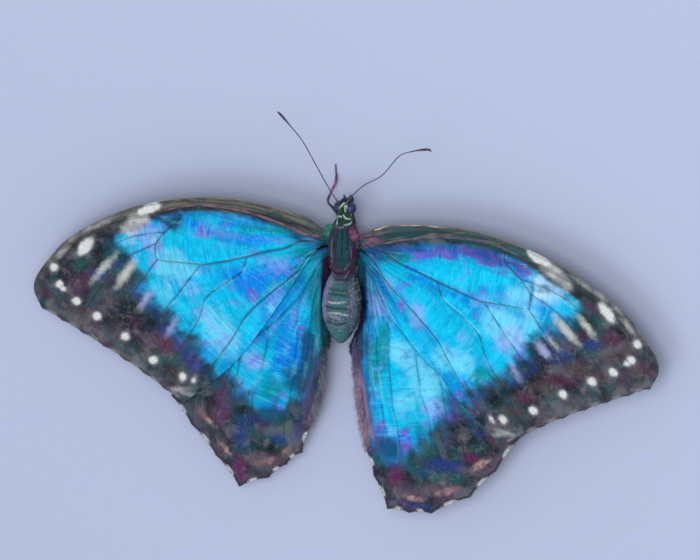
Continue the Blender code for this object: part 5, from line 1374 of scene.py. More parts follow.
def coat_material(name, bright=0.35, deep=0.35):
    """Hair and scales with the skin's own markings, darker at the root and paler at the tip."""
    s = Shader(name)
    colour, small, fine = body_colour(s, s.attr("home", "Vector"))
    # painted highlights: bright tips on hairs of the right flank
    dots = s.math("GREATER_THAN", s.attr("own"), 0.72)
    speck = s.mul(dots, s.smooth(s.attr("speck"), 0.20, 0.7), s.smooth(s.attr("tip"), 0.15, 0.40))
    colour = s.mix(s.mul(speck, 0.95), colour, "f2f6f8")
    colour = s.mix(s.mul(s.smooth(s.attr("tip"), 0.55, 0.0), deep), colour, "0a0c10")
    colour = s.mix(s.mul(s.smooth(s.attr("own"), 0.5, 1.0), s.smooth(s.attr("tip"), 0.2, 1.0), bright), colour, "9fb8c4")
    colour = s.mix(s.mul(s.smooth(s.attr("own"), 0.35, 0.0), 0.30), colour, "0c1018")
    # painted highlights: the bright tufts of the right flank
    colour = s.mix(s.attr("sparkle"), colour, "fbfdff")
    return s.finish(colour, 0.60, None, Specular_IOR_Level=0.12, Sheen_Weight=0.05, Sheen_Roughness=0.35)


def build_skin():
    backs = np.concatenate([np.linspace(-8.15, -7.5, 14)[:-1], np.linspace(-7.5, 20.4, 310)[:-1], np.linspace(20.4, 21.25, 16)])
    around = 120
    turns = -math.pi + (np.arange(around) + 0.5) * 2 * math.pi / around
    b, t = np.meshgrid(backs, turns, indexing="ij")
    b, t = b.ravel(), t.ravel()
    points = trunk_point(b, t)
    front, rear = points[:around].mean(0) - (0, 0.05, 0), points[-around:].mean(0) + (0, 0.05, 0)
    i, k = np.meshgrid(np.arange(len(backs) - 1), np.arange(around), indexing="ij")
    a, c = i * around + k, i * around + (k + 1) % around
    triangles = [np.stack([a, a + around, c + around], -1).reshape(-1, 3), np.stack([a, c + around, c], -1).reshape(-1, 3)]
    k = np.arange(around)
    n = len(points)
    triangles.append(np.stack([k, (k + 1) % around, np.full(around, n)], 1))
    triangles.append(np.stack([n - around + (k + 1) % around, n - around + k, np.full(around, n + 1)], 1))
    points = np.vstack([points, front, rear])
    b, t = np.concatenate([b, [-8.15, 21.25]]), np.concatenate([t, [0.0, 0.0]])
    triangles = np.vstack(triangles)
    fields = body_fields(b, t)
    mesh = mesh_of("body_skin", in_frame(points), triangles, trunk_uv(b, t), fields)
    show("body_skin", mesh, skin_material(), "thorax_hair", "head", "thorax", "abdomen")


def roots_between(low, high, spacing, seed):
    """Roots spread evenly over a length of the trunk."""
    rng = np.random.default_rng(seed)
    backs, turns = [], []
    for row, back in enumerate(np.arange(low, high, spacing * 0.87)):
        wide, high_, _, _ = trunk_section(back)
        count = max(6, round(math.pi * (wide + high_) / spacing))
        turn = -math.pi + (np.arange(count) + 0.5 * (row % 2) + rng.uniform(-0.35, 0.35, count)) * 2 * math.pi / count
        backs.append(back + rng.uniform(-0.35, 0.35, count) * spacing)
        turns.append(turn)
    back, turn = np.concatenate(backs), np.concatenate(turns)
    turn = (turn + math.pi) % (2 * math.pi) - math.pi
    back = np.clip(back, -8.14, 21.2)
    return back, turn


def clear_of_eyes(p, grow=1.0):
    keep = np.ones(len(p), bool)
    for sign in (1, -1):
        centre = np.array([sign * EYE["out"] - 0.05, EYE["back"], EYE["height"]])
        keep &= ((((p - centre) / np.array(EYE["radii"])) ** 2).sum(1)) > grow**2
    return keep


def build_body_coat():
    # head: short, crowded, a little longer between the feelers and on the cheeks
    back, turn = roots_between(-8.12, -3.50, 0.115, 11)
    p, normal, along = trunk_frame(back, turn)
    keep = clear_of_eyes(p, 1.04)
    back, turn, p, normal, along = back[keep], turn[keep], p[keep], normal[keep], along[keep]
    longer = 0.34 + 0.18 * swell(back, -7.5, 0.4) * (np.cos(turn) > -0.2) + 0.25 * (np.cos(turn) < -0.3) + 0.14 * swell(back, -4.2, 0.6)
    lift = 0.42 + 0.5 * swell(back, -7.4, 0.5)
    shell = tufts(p, normal, along, trunk_uv(back, turn), longer, 0.085, lift, 0.45, 12, fields=dict(body_fields(back, turn), home=p))
    show("head_coat", mesh_of("head_coat", in_frame(shell[0]), shell[1], shell[2], shell[3]), coat_material("head coat", 0.25), "head_hair")

    # thorax: longer hair, lying back, standing out along the sides and under the wings
    back, turn = roots_between(-3.45, 6.35, 0.150, 21)
    p, normal, along = trunk_frame(back, turn)
    below = np.clip(-np.cos(turn), 0, 1)
    longer = 0.80 + 0.5 * below
    longer = longer * np.interp(back, [-3.5, -2.9, 5.0, 6.4], [0.8, 1.0, 1.0, 0.7])
    lift = 0.34 + 0.15 * below
    shell = tufts(p, normal, along, trunk_uv(back, turn), longer, 0.105, lift, 0.40, 22, stray=0.16, fields=dict(body_fields(back, turn), home=p))
    show("thorax_coat", mesh_of("thorax_coat", in_frame(shell[0]), shell[1], shell[2], shell[3]), coat_material("thorax coat", 0.14, 0.22), "thorax_hair")

    # abdomen: flat scale hairs in rows, with a short fringe at the hind edge of each ring
    back, turn = roots_between(6.35, 21.1, 0.185, 31)
    p, normal, along = trunk_frame(back, turn)
    shell = [tufts(p, normal, along, trunk_uv(back, turn), 0.40, 0.15, 0.20, 0.25, 32, stray=0.10, thick=0.25, fields=dict(body_fields(back, turn), home=p))]
    rng = np.random.default_rng(33)
    for edge in TERGITES[1:]:
        count = 210 if edge < 18 else 120
        turn = -math.pi + (np.arange(count) + rng.uniform(-0.4, 0.4, count)) * 2 * math.pi / count
        back = np.full(count, edge - 0.10) + rng.uniform(-0.03, 0.03, count)
        p, normal, along = trunk_frame(back, turn)
        shell.append(tufts(p, normal, along, trunk_uv(back, turn), 0.34, 0.11, 0.20, 0.35, int(edge * 10), stray=0.10, thick=0.3, fields=dict(body_fields(back, turn), home=p)))
    # bright tufts on the right flank, coloured as painted highlights
    count = 210
    turn = -np.radians(np.clip(rng.normal(62, 14, count), 34, 92))
    back = 7.0 + 11.8 * rng.uniform(0, 1, count) ** 0.8
    p, normal, along = trunk_frame(back, turn)
    glint_tufts = tufts(p, normal, along, trunk_uv(back, turn), 0.42 * rng.uniform(0.5, 1.3, count), 0.26 * rng.uniform(0.6, 1.2, count), 0.55, 0.2, 34, stray=0.5, thick=0.4, sunk=-0.03, fields=dict(body_fields(back, turn), home=p))
    glint_tufts[3]["sparkle"] = np.ones(len(glint_tufts[0]))
    for part in shell:
        part[3]["sparkle"] = np.zeros(len(part[0]))
    shell.append(glint_tufts)
    shell = joined(shell)
    show("abdomen_coat", mesh_of("abdomen_coat", in_frame(shell[0]), shell[1], shell[2], shell[3]), coat_material("abdomen coat", 0.16, 0.12), "abdomen_scales")


# ---------------------------------------------------------------------- tegulae
def build_tegula(side):
    """The scaly flap over the forewing's root."""
    sign = SIDE[side]
    centre = np.array([sign * TEGULA["out"], TEGULA["back"], TEGULA["height"]])
    radii = np.array(TEGULA["radii"])
    rings, around = 40, 48
    v = (np.arange(rings + 1) / rings) * math.pi
    u = np.arange(around) / around * 2 * math.pi
    vv, uu = np.meshgrid(v[1:-1], u, indexing="ij")
    way = np.stack([np.cos(uu) * np.sin(vv), -np.cos(vv), np.sin(uu) * np.sin(vv)], -1).reshape(-1, 3)
    way = np.vstack([way, (0, -1, 0), (0, 1, 0)])

    def skin_at(way):
        p = way * radii
        # a flap: flatter below, drawn out to the rear and outwards
        p[:, 2] = np.where(p[:, 2] < 0, p[:, 2] * 0.55, p[:, 2])
        p[:, 0] += sign * 0.12 * (way[:, 1] + 1)
        ridge_at = 0.05 * np.sin(way[:, 1] * 6.0) * np.clip(way[:, 2], 0, 1)
        return centre + p * (1 + ridge_at[:, None])

    points = skin_at(way)
    count = rings - 1
    i, k = np.meshgrid(np.arange(count - 1), np.arange(around), indexing="ij")
    a, b = i * around + k, i * around + (k + 1) % around
    triangles = [np.stack([a, b + around, b], -1).reshape(-1, 3), np.stack([a, a + around, b + around], -1).reshape(-1, 3)]
    k = np.arange(around)
    n = count * around
    triangles.append(np.stack([(k + 1) % around, np.full(around, n), k], 1))
    last = (count - 1) * around
    triangles.append(np.stack([last + k, np.full(around, n + 1), last + (k + 1) % around], 1))
    triangles = np.vstack(triangles)
    turned_in = np.einsum("ij,ij->i", np.cross(points[triangles[:, 1]] - points[triangles[:, 0]], points[triangles[:, 2]] - points[triangles[:, 0]]), points[triangles].mean(1) - centre)
    if turned_in.mean() < 0:
        triangles = triangles[:, ::-1]
    uv = np.stack([0.5 + way[:, 0] * 0.22 + np.where(way[:, 2] < 0, 0.25, -0.25), 0.5 + way[:, 1] * 0.45], 1)
    s = Shader(f"tegula {side}")
    mm = s.scaled(s.position(), (1000.0, 1000.0, 1000.0))
    small, fine = s.noise(mm, 1.6, 2, 0.5), s.noise(mm, 6.0, 2, 0.5)
    if side == "left":
        colour = s.mix(s.smooth(small, 0.35, 0.65), "13615f", "1f8a7e")
        colour = s.mix(s.mul(s.smooth(fine, 0.55, 0.75), 0.30), colour, "3fa898")
    else:
        colour = s.mix(s.smooth(small, 0.38, 0.62), "5c2850", "80486e")
        colour = s.mix(s.mul(s.smooth(fine, 0.55, 0.75), 0.30), colour, "a0708e")
    colour = s.mix(s.mul(s.smooth(s.attr("tip"), 0.5, 0.0), 0.3), colour, "141018")
    material = s.finish(colour, 0.55, s.bump(s.cells(mm, 7.0), 0.05, 0.4), Sheen_Weight=0.12, Sheen_Roughness=0.4)
    skin = (points, triangles, uv, {"tip": np.full(len(points), 0.5), "own": np.full(len(points), 0.5)})
    show("tegula_" + side, mesh_of("tegula_" + side, in_frame(points), triangles, uv, skin[3]), material, "thorax_hair")
    rng = np.random.default_rng(41)
    count = 1500
    z = rng.uniform(-0.35, 1, count)
    angle = rng.uniform(0, 2 * math.pi, count)
    flat = np.sqrt(1 - z * z)
    way = np.stack([flat * np.cos(angle), flat * np.sin(angle), z], 1)
    normal = unit(way / radii)
    lie = np.stack([np.full(count, sign * 0.45), np.ones(count), np.full(count, -0.25)], 1)
    uv = np.stack([0.5 + way[:, 0] * 0.22 - 0.25, 0.5 + way[:, 1] * 0.45], 1)
    shell = tufts(skin_at(way.copy()), normal, lie, uv, 0.45, 0.12, 0.22, 0.3, 42, stray=0.14, thick=0.3)
    show(f"tegula_{side}_coat", mesh_of(f"tegula_{side}_coat", in_frame(shell[0]), shell[1], shell[2], shell[3]), material, "thorax_hair")


# ------------------------------------------------------------------------- eyes
def build_eye(side):
    sign = SIDE[side]
    coarse, fine_ = bmesh.new(), bmesh.new()
    bmesh.ops.create_icosphere(coarse, subdivisions=5, radius=1.0)
    bmesh.ops.create_icosphere(fine_, subdivisions=6, radius=1.0)
    facets = KDTree(len(coarse.verts))
    for v in coarse.verts:
        facets.insert(v.co.normalized(), v.index)
    facets.balance()
    way = np.array([v.co.normalized()[:] for v in fine_.verts])
    near = np.array([facets.find(v.co.normalized())[2] for v in fine_.verts])
    triangles = np.array([[v.index for v in f.verts] for f in fine_.faces])
    coarse.free()
    fine_.free()
    raised = 0.010 * np.sqrt(np.clip(1 - (near / 0.042) ** 2, 0, 1))
    centre = np.array([sign * EYE["out"] - 0.05, EYE["back"], EYE["height"]])
    points = centre + way * (np.array(EYE["radii"]) * 0.985 + raised[:, None])
    uv = np.stack([0.25 * (1 + way[:, 1]) + np.where(way[:, 0] * sign > 0, 0.0, 0.5), 0.5 * (1 + way[:, 2] * 0.98)], 1)
    s = Shader(f"eye {side}")
    mm = s.scaled(s.position(), (1000.0, 1000.0, 1000.0))
    parts = s.node("ShaderNodeSeparateXYZ")
    s.put(parts.inputs[0], mm)
    small = s.noise(mm, 1.1, 2, 0.5)
    # painted light: the eye lighter towards its top, and the right eye lighter than the left
    high = s.smooth(s.add(parts.outputs[2], s.mul(small, 1.2)), 6.6, 8.9)
    colour = s.mix(high, "0f0d22", "2a2860" if side == "right" else "1c1c40")
    colour = s.mix(s.mul(s.smooth(small, 0.52, 0.68), 0.5), colour, "443a80")
    colour = s.mix(s.mul(s.smooth(s.noise(mm, 0.9, 2, 0.5), 0.55, 0.7), 0.5), colour, "1d3a52")
    material = s.finish(colour, 0.34, None, Coat_Weight=0.25, Coat_Roughness=0.22, Specular_IOR_Level=0.4)
    mesh = mesh_of("eye_" + side + "_facets", in_frame(points), triangles, uv)
    show("eye_" + side + "_facets", mesh, material, "eye", "eye_" + side)


# ------------------------------------------------------- feelers, legs and mouth
FEELERS = {
    "left": [
        (0.55, -6.90, 7.60), (0.95, -7.95, 8.75), (2.75, -11.60, 9.90), (4.70, -16.00, 11.00),
        (6.70, -20.30, 12.00), (8.60, -23.10, 12.80), (10.70, -25.70, 13.40), (11.35, -26.25, 13.50),
    ],
    "right": [
        (0.55, -6.90, 7.60), (0.98, -7.95, 8.75), (4.35, -11.80, 9.40), (8.50, -14.70, 9.70),
        (12.00, -19.00, 9.90), (15.00, -20.50, 10.00), (17.90, -21.20, 10.00), (18.60, -20.80, 9.90),
    ],
}
MIDLEGS = {
    "left": [
        (1.60, 1.00, 5.20, 0.55), (2.00, 0.20, 4.20, 0.50), (2.30, -3.60, 5.00, 0.42), (2.95, -5.45, 5.95, 0.38),
        (3.72, -6.85, 6.60, 0.34), (4.06, -8.00, 3.90, 0.30), (4.24, -8.85, 1.30, 0.30), (4.45, -9.85, 0.35, 0.27),
        (4.58, -10.90, 0.22, 0.27), (4.64, -12.00, 0.22, 0.27),
    ],
    "right": [
        (1.60, 1.00, 5.20, 0.55), (2.10, 0.90, 4.20, 0.50), (5.20, 1.20, 5.90, 0.42), (7.60, 1.30, 6.45, 0.42),
        (8.30, 1.25, 6.10, 0.36), (8.90, 0.90, 3.20, 0.30), (9.20, 0.60, 1.20, 0.30), (10.00, 0.30, 0.40, 0.27),
        (11.60, -0.10, 0.22, 0.27), (13.20, -0.30, 0.22, 0.27),
    ],
}
HINDLEG = [
    (1.50, 3.60, 5.20, 0.55), (1.90, 4.20, 4.10, 0.50), (4.40, 7.20, 4.80, 0.42), (6.20, 9.60, 5.10, 0.42),
    (6.70, 10.40, 4.90, 0.36), (7.60, 12.80, 2.80, 0.30), (8.10, 14.10, 1.30, 0.30), (8.60, 15.30, 0.42, 0.27),
    (9.40, 17.20, 0.22, 0.27), (10.10, 19.20, 0.22, 0.27),
]
FORELEG = [(0.85, -1.60, 5.00, 0.42), (0.90, -2.40, 4.50, 0.40), (0.80, -3.60, 4.75, 0.36), (0.62, -4.60, 5.15, 0.30), (0.56, -5.10, 5.30, 0.26)]
PALP = [(0.78, -6.30, 6.00, 0.34), (0.84, -7.30, 5.35, 0.36), (0.78, -7.95, 5.50, 0.34), (0.66, -8.20, 5.95, 0.25)]


def build_feeler(side):
    run = smooth_run(FEELERS[side], 0.055) * (SIDE[side], 1, 1)
    share = np.linspace(0, 1, len(run))
    length = 0.055 * len(run)
    along = share * length
    radius = 0.112 - 0.02 * share
    radius += 0.15 * np.clip((share - 0.80) / 0.14, 0, 1) ** 1.4 - 0.17 * np.clip((share - 0.955) / 0.045, 0, 1) ** 2
    ring = (along / 0.46) % 1.0  # segments, each widest near its end
    radius *= 1 + 0.10 * ring**2 - 0.12 * (ring > 0.93)
    start = along - 1.0
    radius += 0.09 * swell(start, 0.55, 0.35) + 0.04 * swell(start, 1.15, 0.2)
    shell = tube(run, np.maximum(radius, 0.05), 16)
    shell[3]["ring"] = np.concatenate([np.repeat(ring, 16), [0, 0]])
    s = Shader(f"feeler {side}")
    share_at = s.attr("share")
    mm = s.scaled(s.position(), (1000.0, 1000.0, 1000.0))
    small = s.noise(mm, 0.7, 2, 0.5)
    colour = s.mix(s.smooth(small, 0.35, 0.65), "3a3458", "5a5480")
    colour = s.mix(s.smooth(share_at, 0.82, 0.93), colour, "2e2a42")
    colour = s.mix(s.mul(s.smooth(s.attr("ring"), 0.25, 0.05), 0.40), colour, "8580a0")
    material = s.finish(colour, 0.45, s.bump(s.noise(mm, 12.0, 2, 0.5), 0.03, 0.4), Specular_IOR_Level=0.5)
    mesh = mesh_of(f"antenna_{side}_ringed", in_frame(shell[0]), shell[1], shell[2], shell[3])
    show(f"antenna_{side}_ringed", mesh, material, "antenna", "antenna_" + side)


def arc_lengths(run):
    return np.concatenate([[0], np.cumsum(np.linalg.norm(np.diff(run[:, :3], axis=0), axis=1))])


def leg_shells(controls, sign, jointed=True, seed=5):
    """A leg of segments with pinched joints, spines, spurs and claws."""
    controls = np.array(controls, float)
    dense = catmull_rom(controls, 24)
    marks = arc_lengths(dense)[::24]  # where each control lies along the leg
    run = evenly(dense, 0.07)
    along = arc_lengths(run)
    points, radius = run[:, :3] * (sign, 1, 1), run[:, 3] * 0.80
    joints = [marks[1], marks[4]]
    foot = marks[7] if jointed else along[-1]
    if jointed:
        joints.append(foot)
        radius = radius * (1 - 0.20 * np.clip((along - marks[1]) / 0.6, 0, 1) * (along < marks[4]))
        radius = np.where(along > foot, radius * 0.66, radius)
        for k in range(1, 5):
            joint = foot + (along[-1] - foot) * (0, 0.42, 0.62, 0.78, 0.90)[k]
            radius = radius * (1 - 0.30 * swell(along, joint, 0.07))
        radius = radius * (1 + 0.10 * swell(along, marks[3], 0.9)) * (1 + 0.18 * swell(along, marks[6], 0.5))
    for joint in joints:
        radius = radius * (1 - 0.34 * swell(along, joint, 0.16))
    shell = tube(points, radius, 20, (0, 0), (0.98, 0.98))
    shells = [shell]
    if not jointed:
        return shells, points, radius, along, marks
    rng = np.random.default_rng(seed)
    ahead = unit(np.gradient(points, axis=0))
    side_way = unit(np.cross(ahead, (0.2, 0.1, 1.0)))
    above = np.cross(side_way, ahead)
    places_, ways = [], []
    for row, turn in enumerate((-2.5, -1.9, -1.25, -0.65, 0.4, 2.7)):
        step = 0.30 if row in (1, 2) else 0.46
        for at in np.arange(marks[5] - 1.6, along[-1] - 0.15, step):
            k = int(np.argmin(np.abs(along - at - rng.uniform(-0.05, 0.05))))
            normal = side_way[k] * math.cos(turn) + above[k] * math.sin(turn)
            places_.append((k, normal))
    k = np.array([q[0] for q in places_])
    normal = np.array([q[1] for q in places_])
    roots = points[k] + normal * radius[k][:, None]
    uv = np.stack([np.full(len(k), 0.5), 0.98 * along[k] / along[-1]], 1)
    foot_ward = np.where(along[k] > foot, 0.75, 1.0)
    spines = tufts(roots, normal, ahead[k], uv, 0.38 * foot_ward, 0.075, 0.55, 0.25, seed + 1, stray=0.05, thick=0.8)
    spines[3]["share"] = np.repeat(along[k] / along[-1], 7)
    spines[3]["own"] = np.ones(len(spines[0]))
    # two spurs at the shin's end, two claws and a pad at the foot's end
    k = np.array([int(np.argmin(np.abs(along - foot + 0.1)))] * 2)
    pairs = [(k, 0.55, 0.10, 0.45, 0.2), (np.array([len(run) - 1] * 2), 0.34, 0.10, 0.5, 1.6)]
    for k, length, width, lift, curl in pairs:
        out_ = np.array([0.8, -0.8])[:, None]
        normal = unit(above[k] * (0.25 if length < 0.5 else -1.0) + side_way[k] * out_)
        roots = points[k] + normal * radius[k][:, None] * 0.7
        uv = np.stack([np.full(2, 0.5), 0.98 * along[k] / along[-1]], 1)
        extra = tufts(roots, normal, ahead[k], uv, length, width, lift, curl, seed + 2, stray=0.0, thick=0.8)
        extra[3]["share"] = np.repeat(along[k] / along[-1], 7)
        extra[3]["own"] = np.ones(len(extra[0]))
        shells.append(extra)
    # short flat scale hairs over thigh and shin
    count = int(150 * foot)
    at = rng.uniform(0.9, foot - 0.1, count)
    k = np.clip(np.searchsorted(along, at), 0, len(run) - 1)
    turn = rng.uniform(0, 2 * math.pi, count)
    normal = side_way[k] * np.cos(turn)[:, None] + above[k] * np.sin(turn)[:, None]
    roots = points[k] + normal * radius[k][:, None]
    uv = np.stack([np.abs(turn / math.pi - 1) * 0.98, 0.98 * along[k] / along[-1]], 1)
    hairs = tufts(roots, normal, ahead[k], uv, 0.24, 0.07, 0.22, 0.3, seed + 3, stray=0.15, thick=0.3)
    hairs[3]["share"] = np.repeat(along[k] / along[-1], 7)
    shells += [spines, hairs]
    return shells, points, radius, along, marks


def leg_material(name, thigh, shin, foot, spots=None):
    s = Shader(name)
    mm = s.scaled(s.position(), (1000.0, 1000.0, 1000.0))
    small, fine = s.noise(mm, 1.5, 2, 0.5), s.noise(mm, 5.0, 2, 0.5)
    share = s.add(s.attr("share"), s.mul(s.math("SUBTRACT", small, 0.5), 0.05))
    colour = s.mix(s.smooth(share, thigh[1], thigh[1] + 0.05), thigh[0], shin[0])
    colour = s.mix(s.smooth(share, shin[1], shin[1] + 0.06), colour, foot)
    colour = s.mix(s.mul(s.smooth(fine, 0.52, 0.72), 0.35), colour, "b9a3ae")
    colour = s.mix(s.mul(s.smooth(fine, 0.48, 0.30), 0.40), colour, "1c1420")
    if spots:
        colour = s.mix(s.mul(s.smooth(s.noise(mm, 2.0, 1, 0.5), 0.56, 0.64), 0.8), colour, spots)
    colour = s.mix(s.mul(s.math("GREATER_THAN", s.attr("own"), 0.995), 0.85), colour, "1f1722")
    return s.finish(colour, 0.50, s.bump(s.cells(mm, 8.0), 0.04, 0.4), Sheen_Weight=0.1, Sheen_Roughness=0.4)


def build_legs(side):
    sign = SIDE[side]
    for name, controls in (("midleg_" + side, MIDLEGS[side]), ("hindleg_" + side, HINDLEG)):
        shells, *_ = leg_shells(controls, sign, True, 50 + len(name) + (sign > 0))
        if name == "midleg_left":
            material = leg_material("leg, pink shin", ("2e2048", 0.555), ("b45c98", 0.80), "5b3a68", "3c2448")
        else:
            material = leg_material("leg of " + name, ("3b2a34", 0.45), ("54404a", 0.72), "3a2d33")
        shell = joined(shells)
        mesh = mesh_of(name + "_jointed", in_frame(shell[0]), shell[1], shell[2], shell[3])
        show(name + "_jointed", mesh, material, "leg", name)
    # the short brush-like front leg
    shells, points, radius, along, marks = leg_shells(FORELEG, sign, False)
    radius = radius * 0.7
    shells = [tube(points, radius, 16, (0, 0), (0.98, 0.98))]
    shells.append(brush(points, radius, along, 1100, 0.34, 0.08, 0.30, 61))
    shell = joined(shells)
    material = hair_material("front leg", "2c3040", "5c6478")
    show(f"foreleg_{side}_brush", mesh_of(f"foreleg_{side}_brush", in_frame(shell[0]), shell[1], shell[2], shell[3]), material, "leg", "foreleg_" + side)
    # the palp, which curves up before the face
    dense = evenly(catmull_rom(PALP, 24), 0.06)
    points, radius = dense[:, :3] * (sign, 1, 1), dense[:, 3] * 0.62
    along = arc_lengths(dense)
    radius = radius * (1 - 0.25 * swell(along, along[-1] * 0.78, 0.12))
    shells = [tube(points, radius, 18, (0, 0), (0.98, 0.98)), brush(points, radius, along, 1500, 0.20, 0.07, 0.32, 71)]
    shell = joined(shells)
    material = hair_material("palp", "1c2334", "46587a")
    show(f"palp_{side}_brush", mesh_of(f"palp_{side}_brush", in_frame(shell[0]), shell[1], shell[2], shell[3]), material, "palp", "palp_" + side)


def brush(points, radius, along, count, length, width, lift, seed):
    """Hair all round a limb, lying towards its tip."""
    rng = np.random.default_rng(seed)
    at = rng.uniform(0.1, along[-1], count)
    k = np.clip(np.searchsorted(along, at), 0, len(points) - 1)
    ahead = unit(np.gradient(points, axis=0))
    side_way = unit(np.cross(ahead, (0.2, 0.1, 1.0)))
    above = np.cross(side_way, ahead)
    turn = rng.uniform(0, 2 * math.pi, count)
    normal = side_way[k] * np.cos(turn)[:, None] + above[k] * np.sin(turn)[:, None]
    roots = points[k] + normal * radius[k][:, None] * 0.95
    uv = np.stack([np.abs(turn / math.pi - 1) * 0.98, 0.98 * along[k] / along[-1]], 1)
    shell = tufts(roots, normal, ahead[k], uv, length, width, lift, 0.35, seed + 1, stray=0.2, thick=0.4)
    shell[3]["share"] = np.repeat(along[k] / along[-1], 7)
    return shell


def hair_material(name, deep, pale, tint=None):
    s = Shader(name)
    colour = s.mix(s.smooth(s.add(s.attr("tip"), s.mul(s.math("SUBTRACT", s.attr("own"), 0.5), 0.7)), 0.1, 0.9), deep, pale)
    colour = s.mix(s.mul(s.smooth(s.attr("own"), 0.30, 0.0), 0.5), colour, "14100e")
    return s.finish(colour, 0.6, None, Sheen_Weight=0.15, Sheen_Roughness=0.35)


def build_proboscis():
    outer, inner, turns = 0.92, 0.28, 1.15
    controls = [(0.0, -7.05, 5.75)]
    for i in range(57):
        t = i / 56
        turn = math.radians(100) + 2 * math.pi * turns * t
        r = outer + (inner - outer) * t
        controls.append((0.0, -6.85 + r * math.cos(turn), 4.20 + r * math.sin(turn)))
    run = evenly(catmull_rom(controls, 8), 0.022)
    along = arc_lengths(run)
    radius = (0.235 - 0.07 * along / along[-1]) * (1 + 0.05 * np.cos(along / 0.11 * 2 * math.pi))
    shell = tube(run, radius, 20)
    s = Shader("tongue")
    mm = s.scaled(s.position(), (1000.0, 1000.0, 1000.0))
    colour = s.mix(s.smooth(s.noise(mm, 1.5, 2, 0.5), 0.35, 0.65), "2c2630", "4e4450")
    material = s.finish(colour, 0.38, s.bump(s.noise(mm, 9.0, 2, 0.5), 0.03, 0.4), Specular_IOR_Level=0.5)
    show("proboscis_ringed", mesh_of("proboscis_ringed", in_frame(shell[0]), shell[1], shell[2], shell[3]), material, "proboscis", "proboscis")


# --------------------------------------------- hair of the wing roots and folds
def wing_surface(wing, side):
    height = forewing_height if wing == "forewing" else hindwing_height(side)
    return lambda p: height(p) + MEMBRANE / 2


def wing_hair(name, wing, side, p, way, length, width, lift, curl, seed, material, slot, low, size, under=False, stray=0.2):
    """Hair rooted on a wing: p are roots on the plan, way the direction on the plan in which it lies."""
    sign = SIDE[side]
    lift_of = wing_surface(wing, side)
    z = lift_of(p) - (MEMBRANE if under else 0.0)
    roots = np.stack([sign * p[:, 0], p[:, 1], z], 1)
    normal = np.tile((0.0, 0.0, -1.0 if under else 1.0), (len(p), 1))
    lie = np.stack([sign * way[:, 0], way[:, 1], np.zeros(len(p))], 1)
    share = (p - low) / size
    uv = np.stack([share[:, 0], (0.005 if under else 0.505) + 0.49 * share[:, 1]], 1)
    shell = tufts(roots, normal, lie, np.clip(uv, 0.002, 0.998), length, width, lift, curl, seed, stray=stray, fields={"home": roots})
    return shell


def ring_of(wing, side):
    ring, hollow = forewing_outline() if wing == "forewing" else hindwing_outline(side)
    return ring, hollow, ring.min(0) - 0.5, np.ptp(ring, axis=0) + 1.0


def build_fringe(wing, side):
    """Scale fringe along the outer edge: pale in the hollows, dusky at the veins' ends."""
    ring, hollow, low, size = ring_of(wing, side)
    start = int(np.argmax(hollow >= 0))
    edge = ring[hollow >= 0]
    marks = hollow[hollow >= 0]
    after = ring[(start + len(edge)) % len(ring)]
    edge, marks = np.vstack([edge, after]), np.append(marks, marks[-1])
    lengths = arc_lengths(edge)
    rng = np.random.default_rng(81)
    shells = []
    for layer, (step, length, width) in enumerate(((0.085, 0.50, 0.13), (0.10, 0.38, 0.13), (0.11, 0.30, 0.12))):
        at = np.arange(0.1, lengths[-1] - 0.1, step)
        at = at + rng.uniform(-0.4, 0.4, len(at)) * step
        p = np.stack([np.interp(at, lengths, edge[:, i]) for i in (0, 1)], 1)
        mark = np.interp(at, lengths, marks)
        pale = np.sin(math.pi * mark) ** 2
        ahead = np.stack([np.interp(at + 0.3, lengths, edge[:, i]) - np.interp(at - 0.3, lengths, edge[:, i]) for i in (0, 1)], 1)
        out = unit(np.stack([ahead[:, 1], -ahead[:, 0]], 1))
        middle = edge.mean(0) * 0.5 + ring.mean(0) * 0.5
        out *= np.sign((out * (p - middle)).sum(1))[:, None]
        p = p - out * (0.08 + 0.06 * layer)
        full = length * (0.66 + 0.44 * pale**3)
        shell = wing_hair("", wing, side, p, out, full, width, 0.06 * (layer - 1) + 0.02, 0.05, 82 + layer, None, None, low, size, under=layer == 2, stray=0.10)
        shell[3]["pale"] = np.repeat(pale, 7)
        shells.append(shell)
    shell = joined(shells)
    s = Shader(f"fringe of {wing} {side}")
    amount = s.add(s.attr("pale"), s.mul(s.math("SUBTRACT", s.attr("own"), 0.5), 0.5))
    if wing == "forewing":
        colour = s.mix(s.smooth(amount, 0.45, 1.0), "47434f", "8f8f98")
    else:
        colour = s.mix(s.smooth(amount, 0.66, 1.0), "34313f", "e0e2e6")
    colour = s.mix(s.mul(s.smooth(s.attr("tip"), 0.4, 0.0), 0.35), colour, "3a3640")
    material = s.finish(colour, 0.6, None, Sheen_Weight=0.1, Sheen_Roughness=0.4)
    name = f"{wing}_{side}_fringe"
    show(name, mesh_of(name, in_frame(shell[0]), shell[1], shell[2], shell[3]), material, wing)


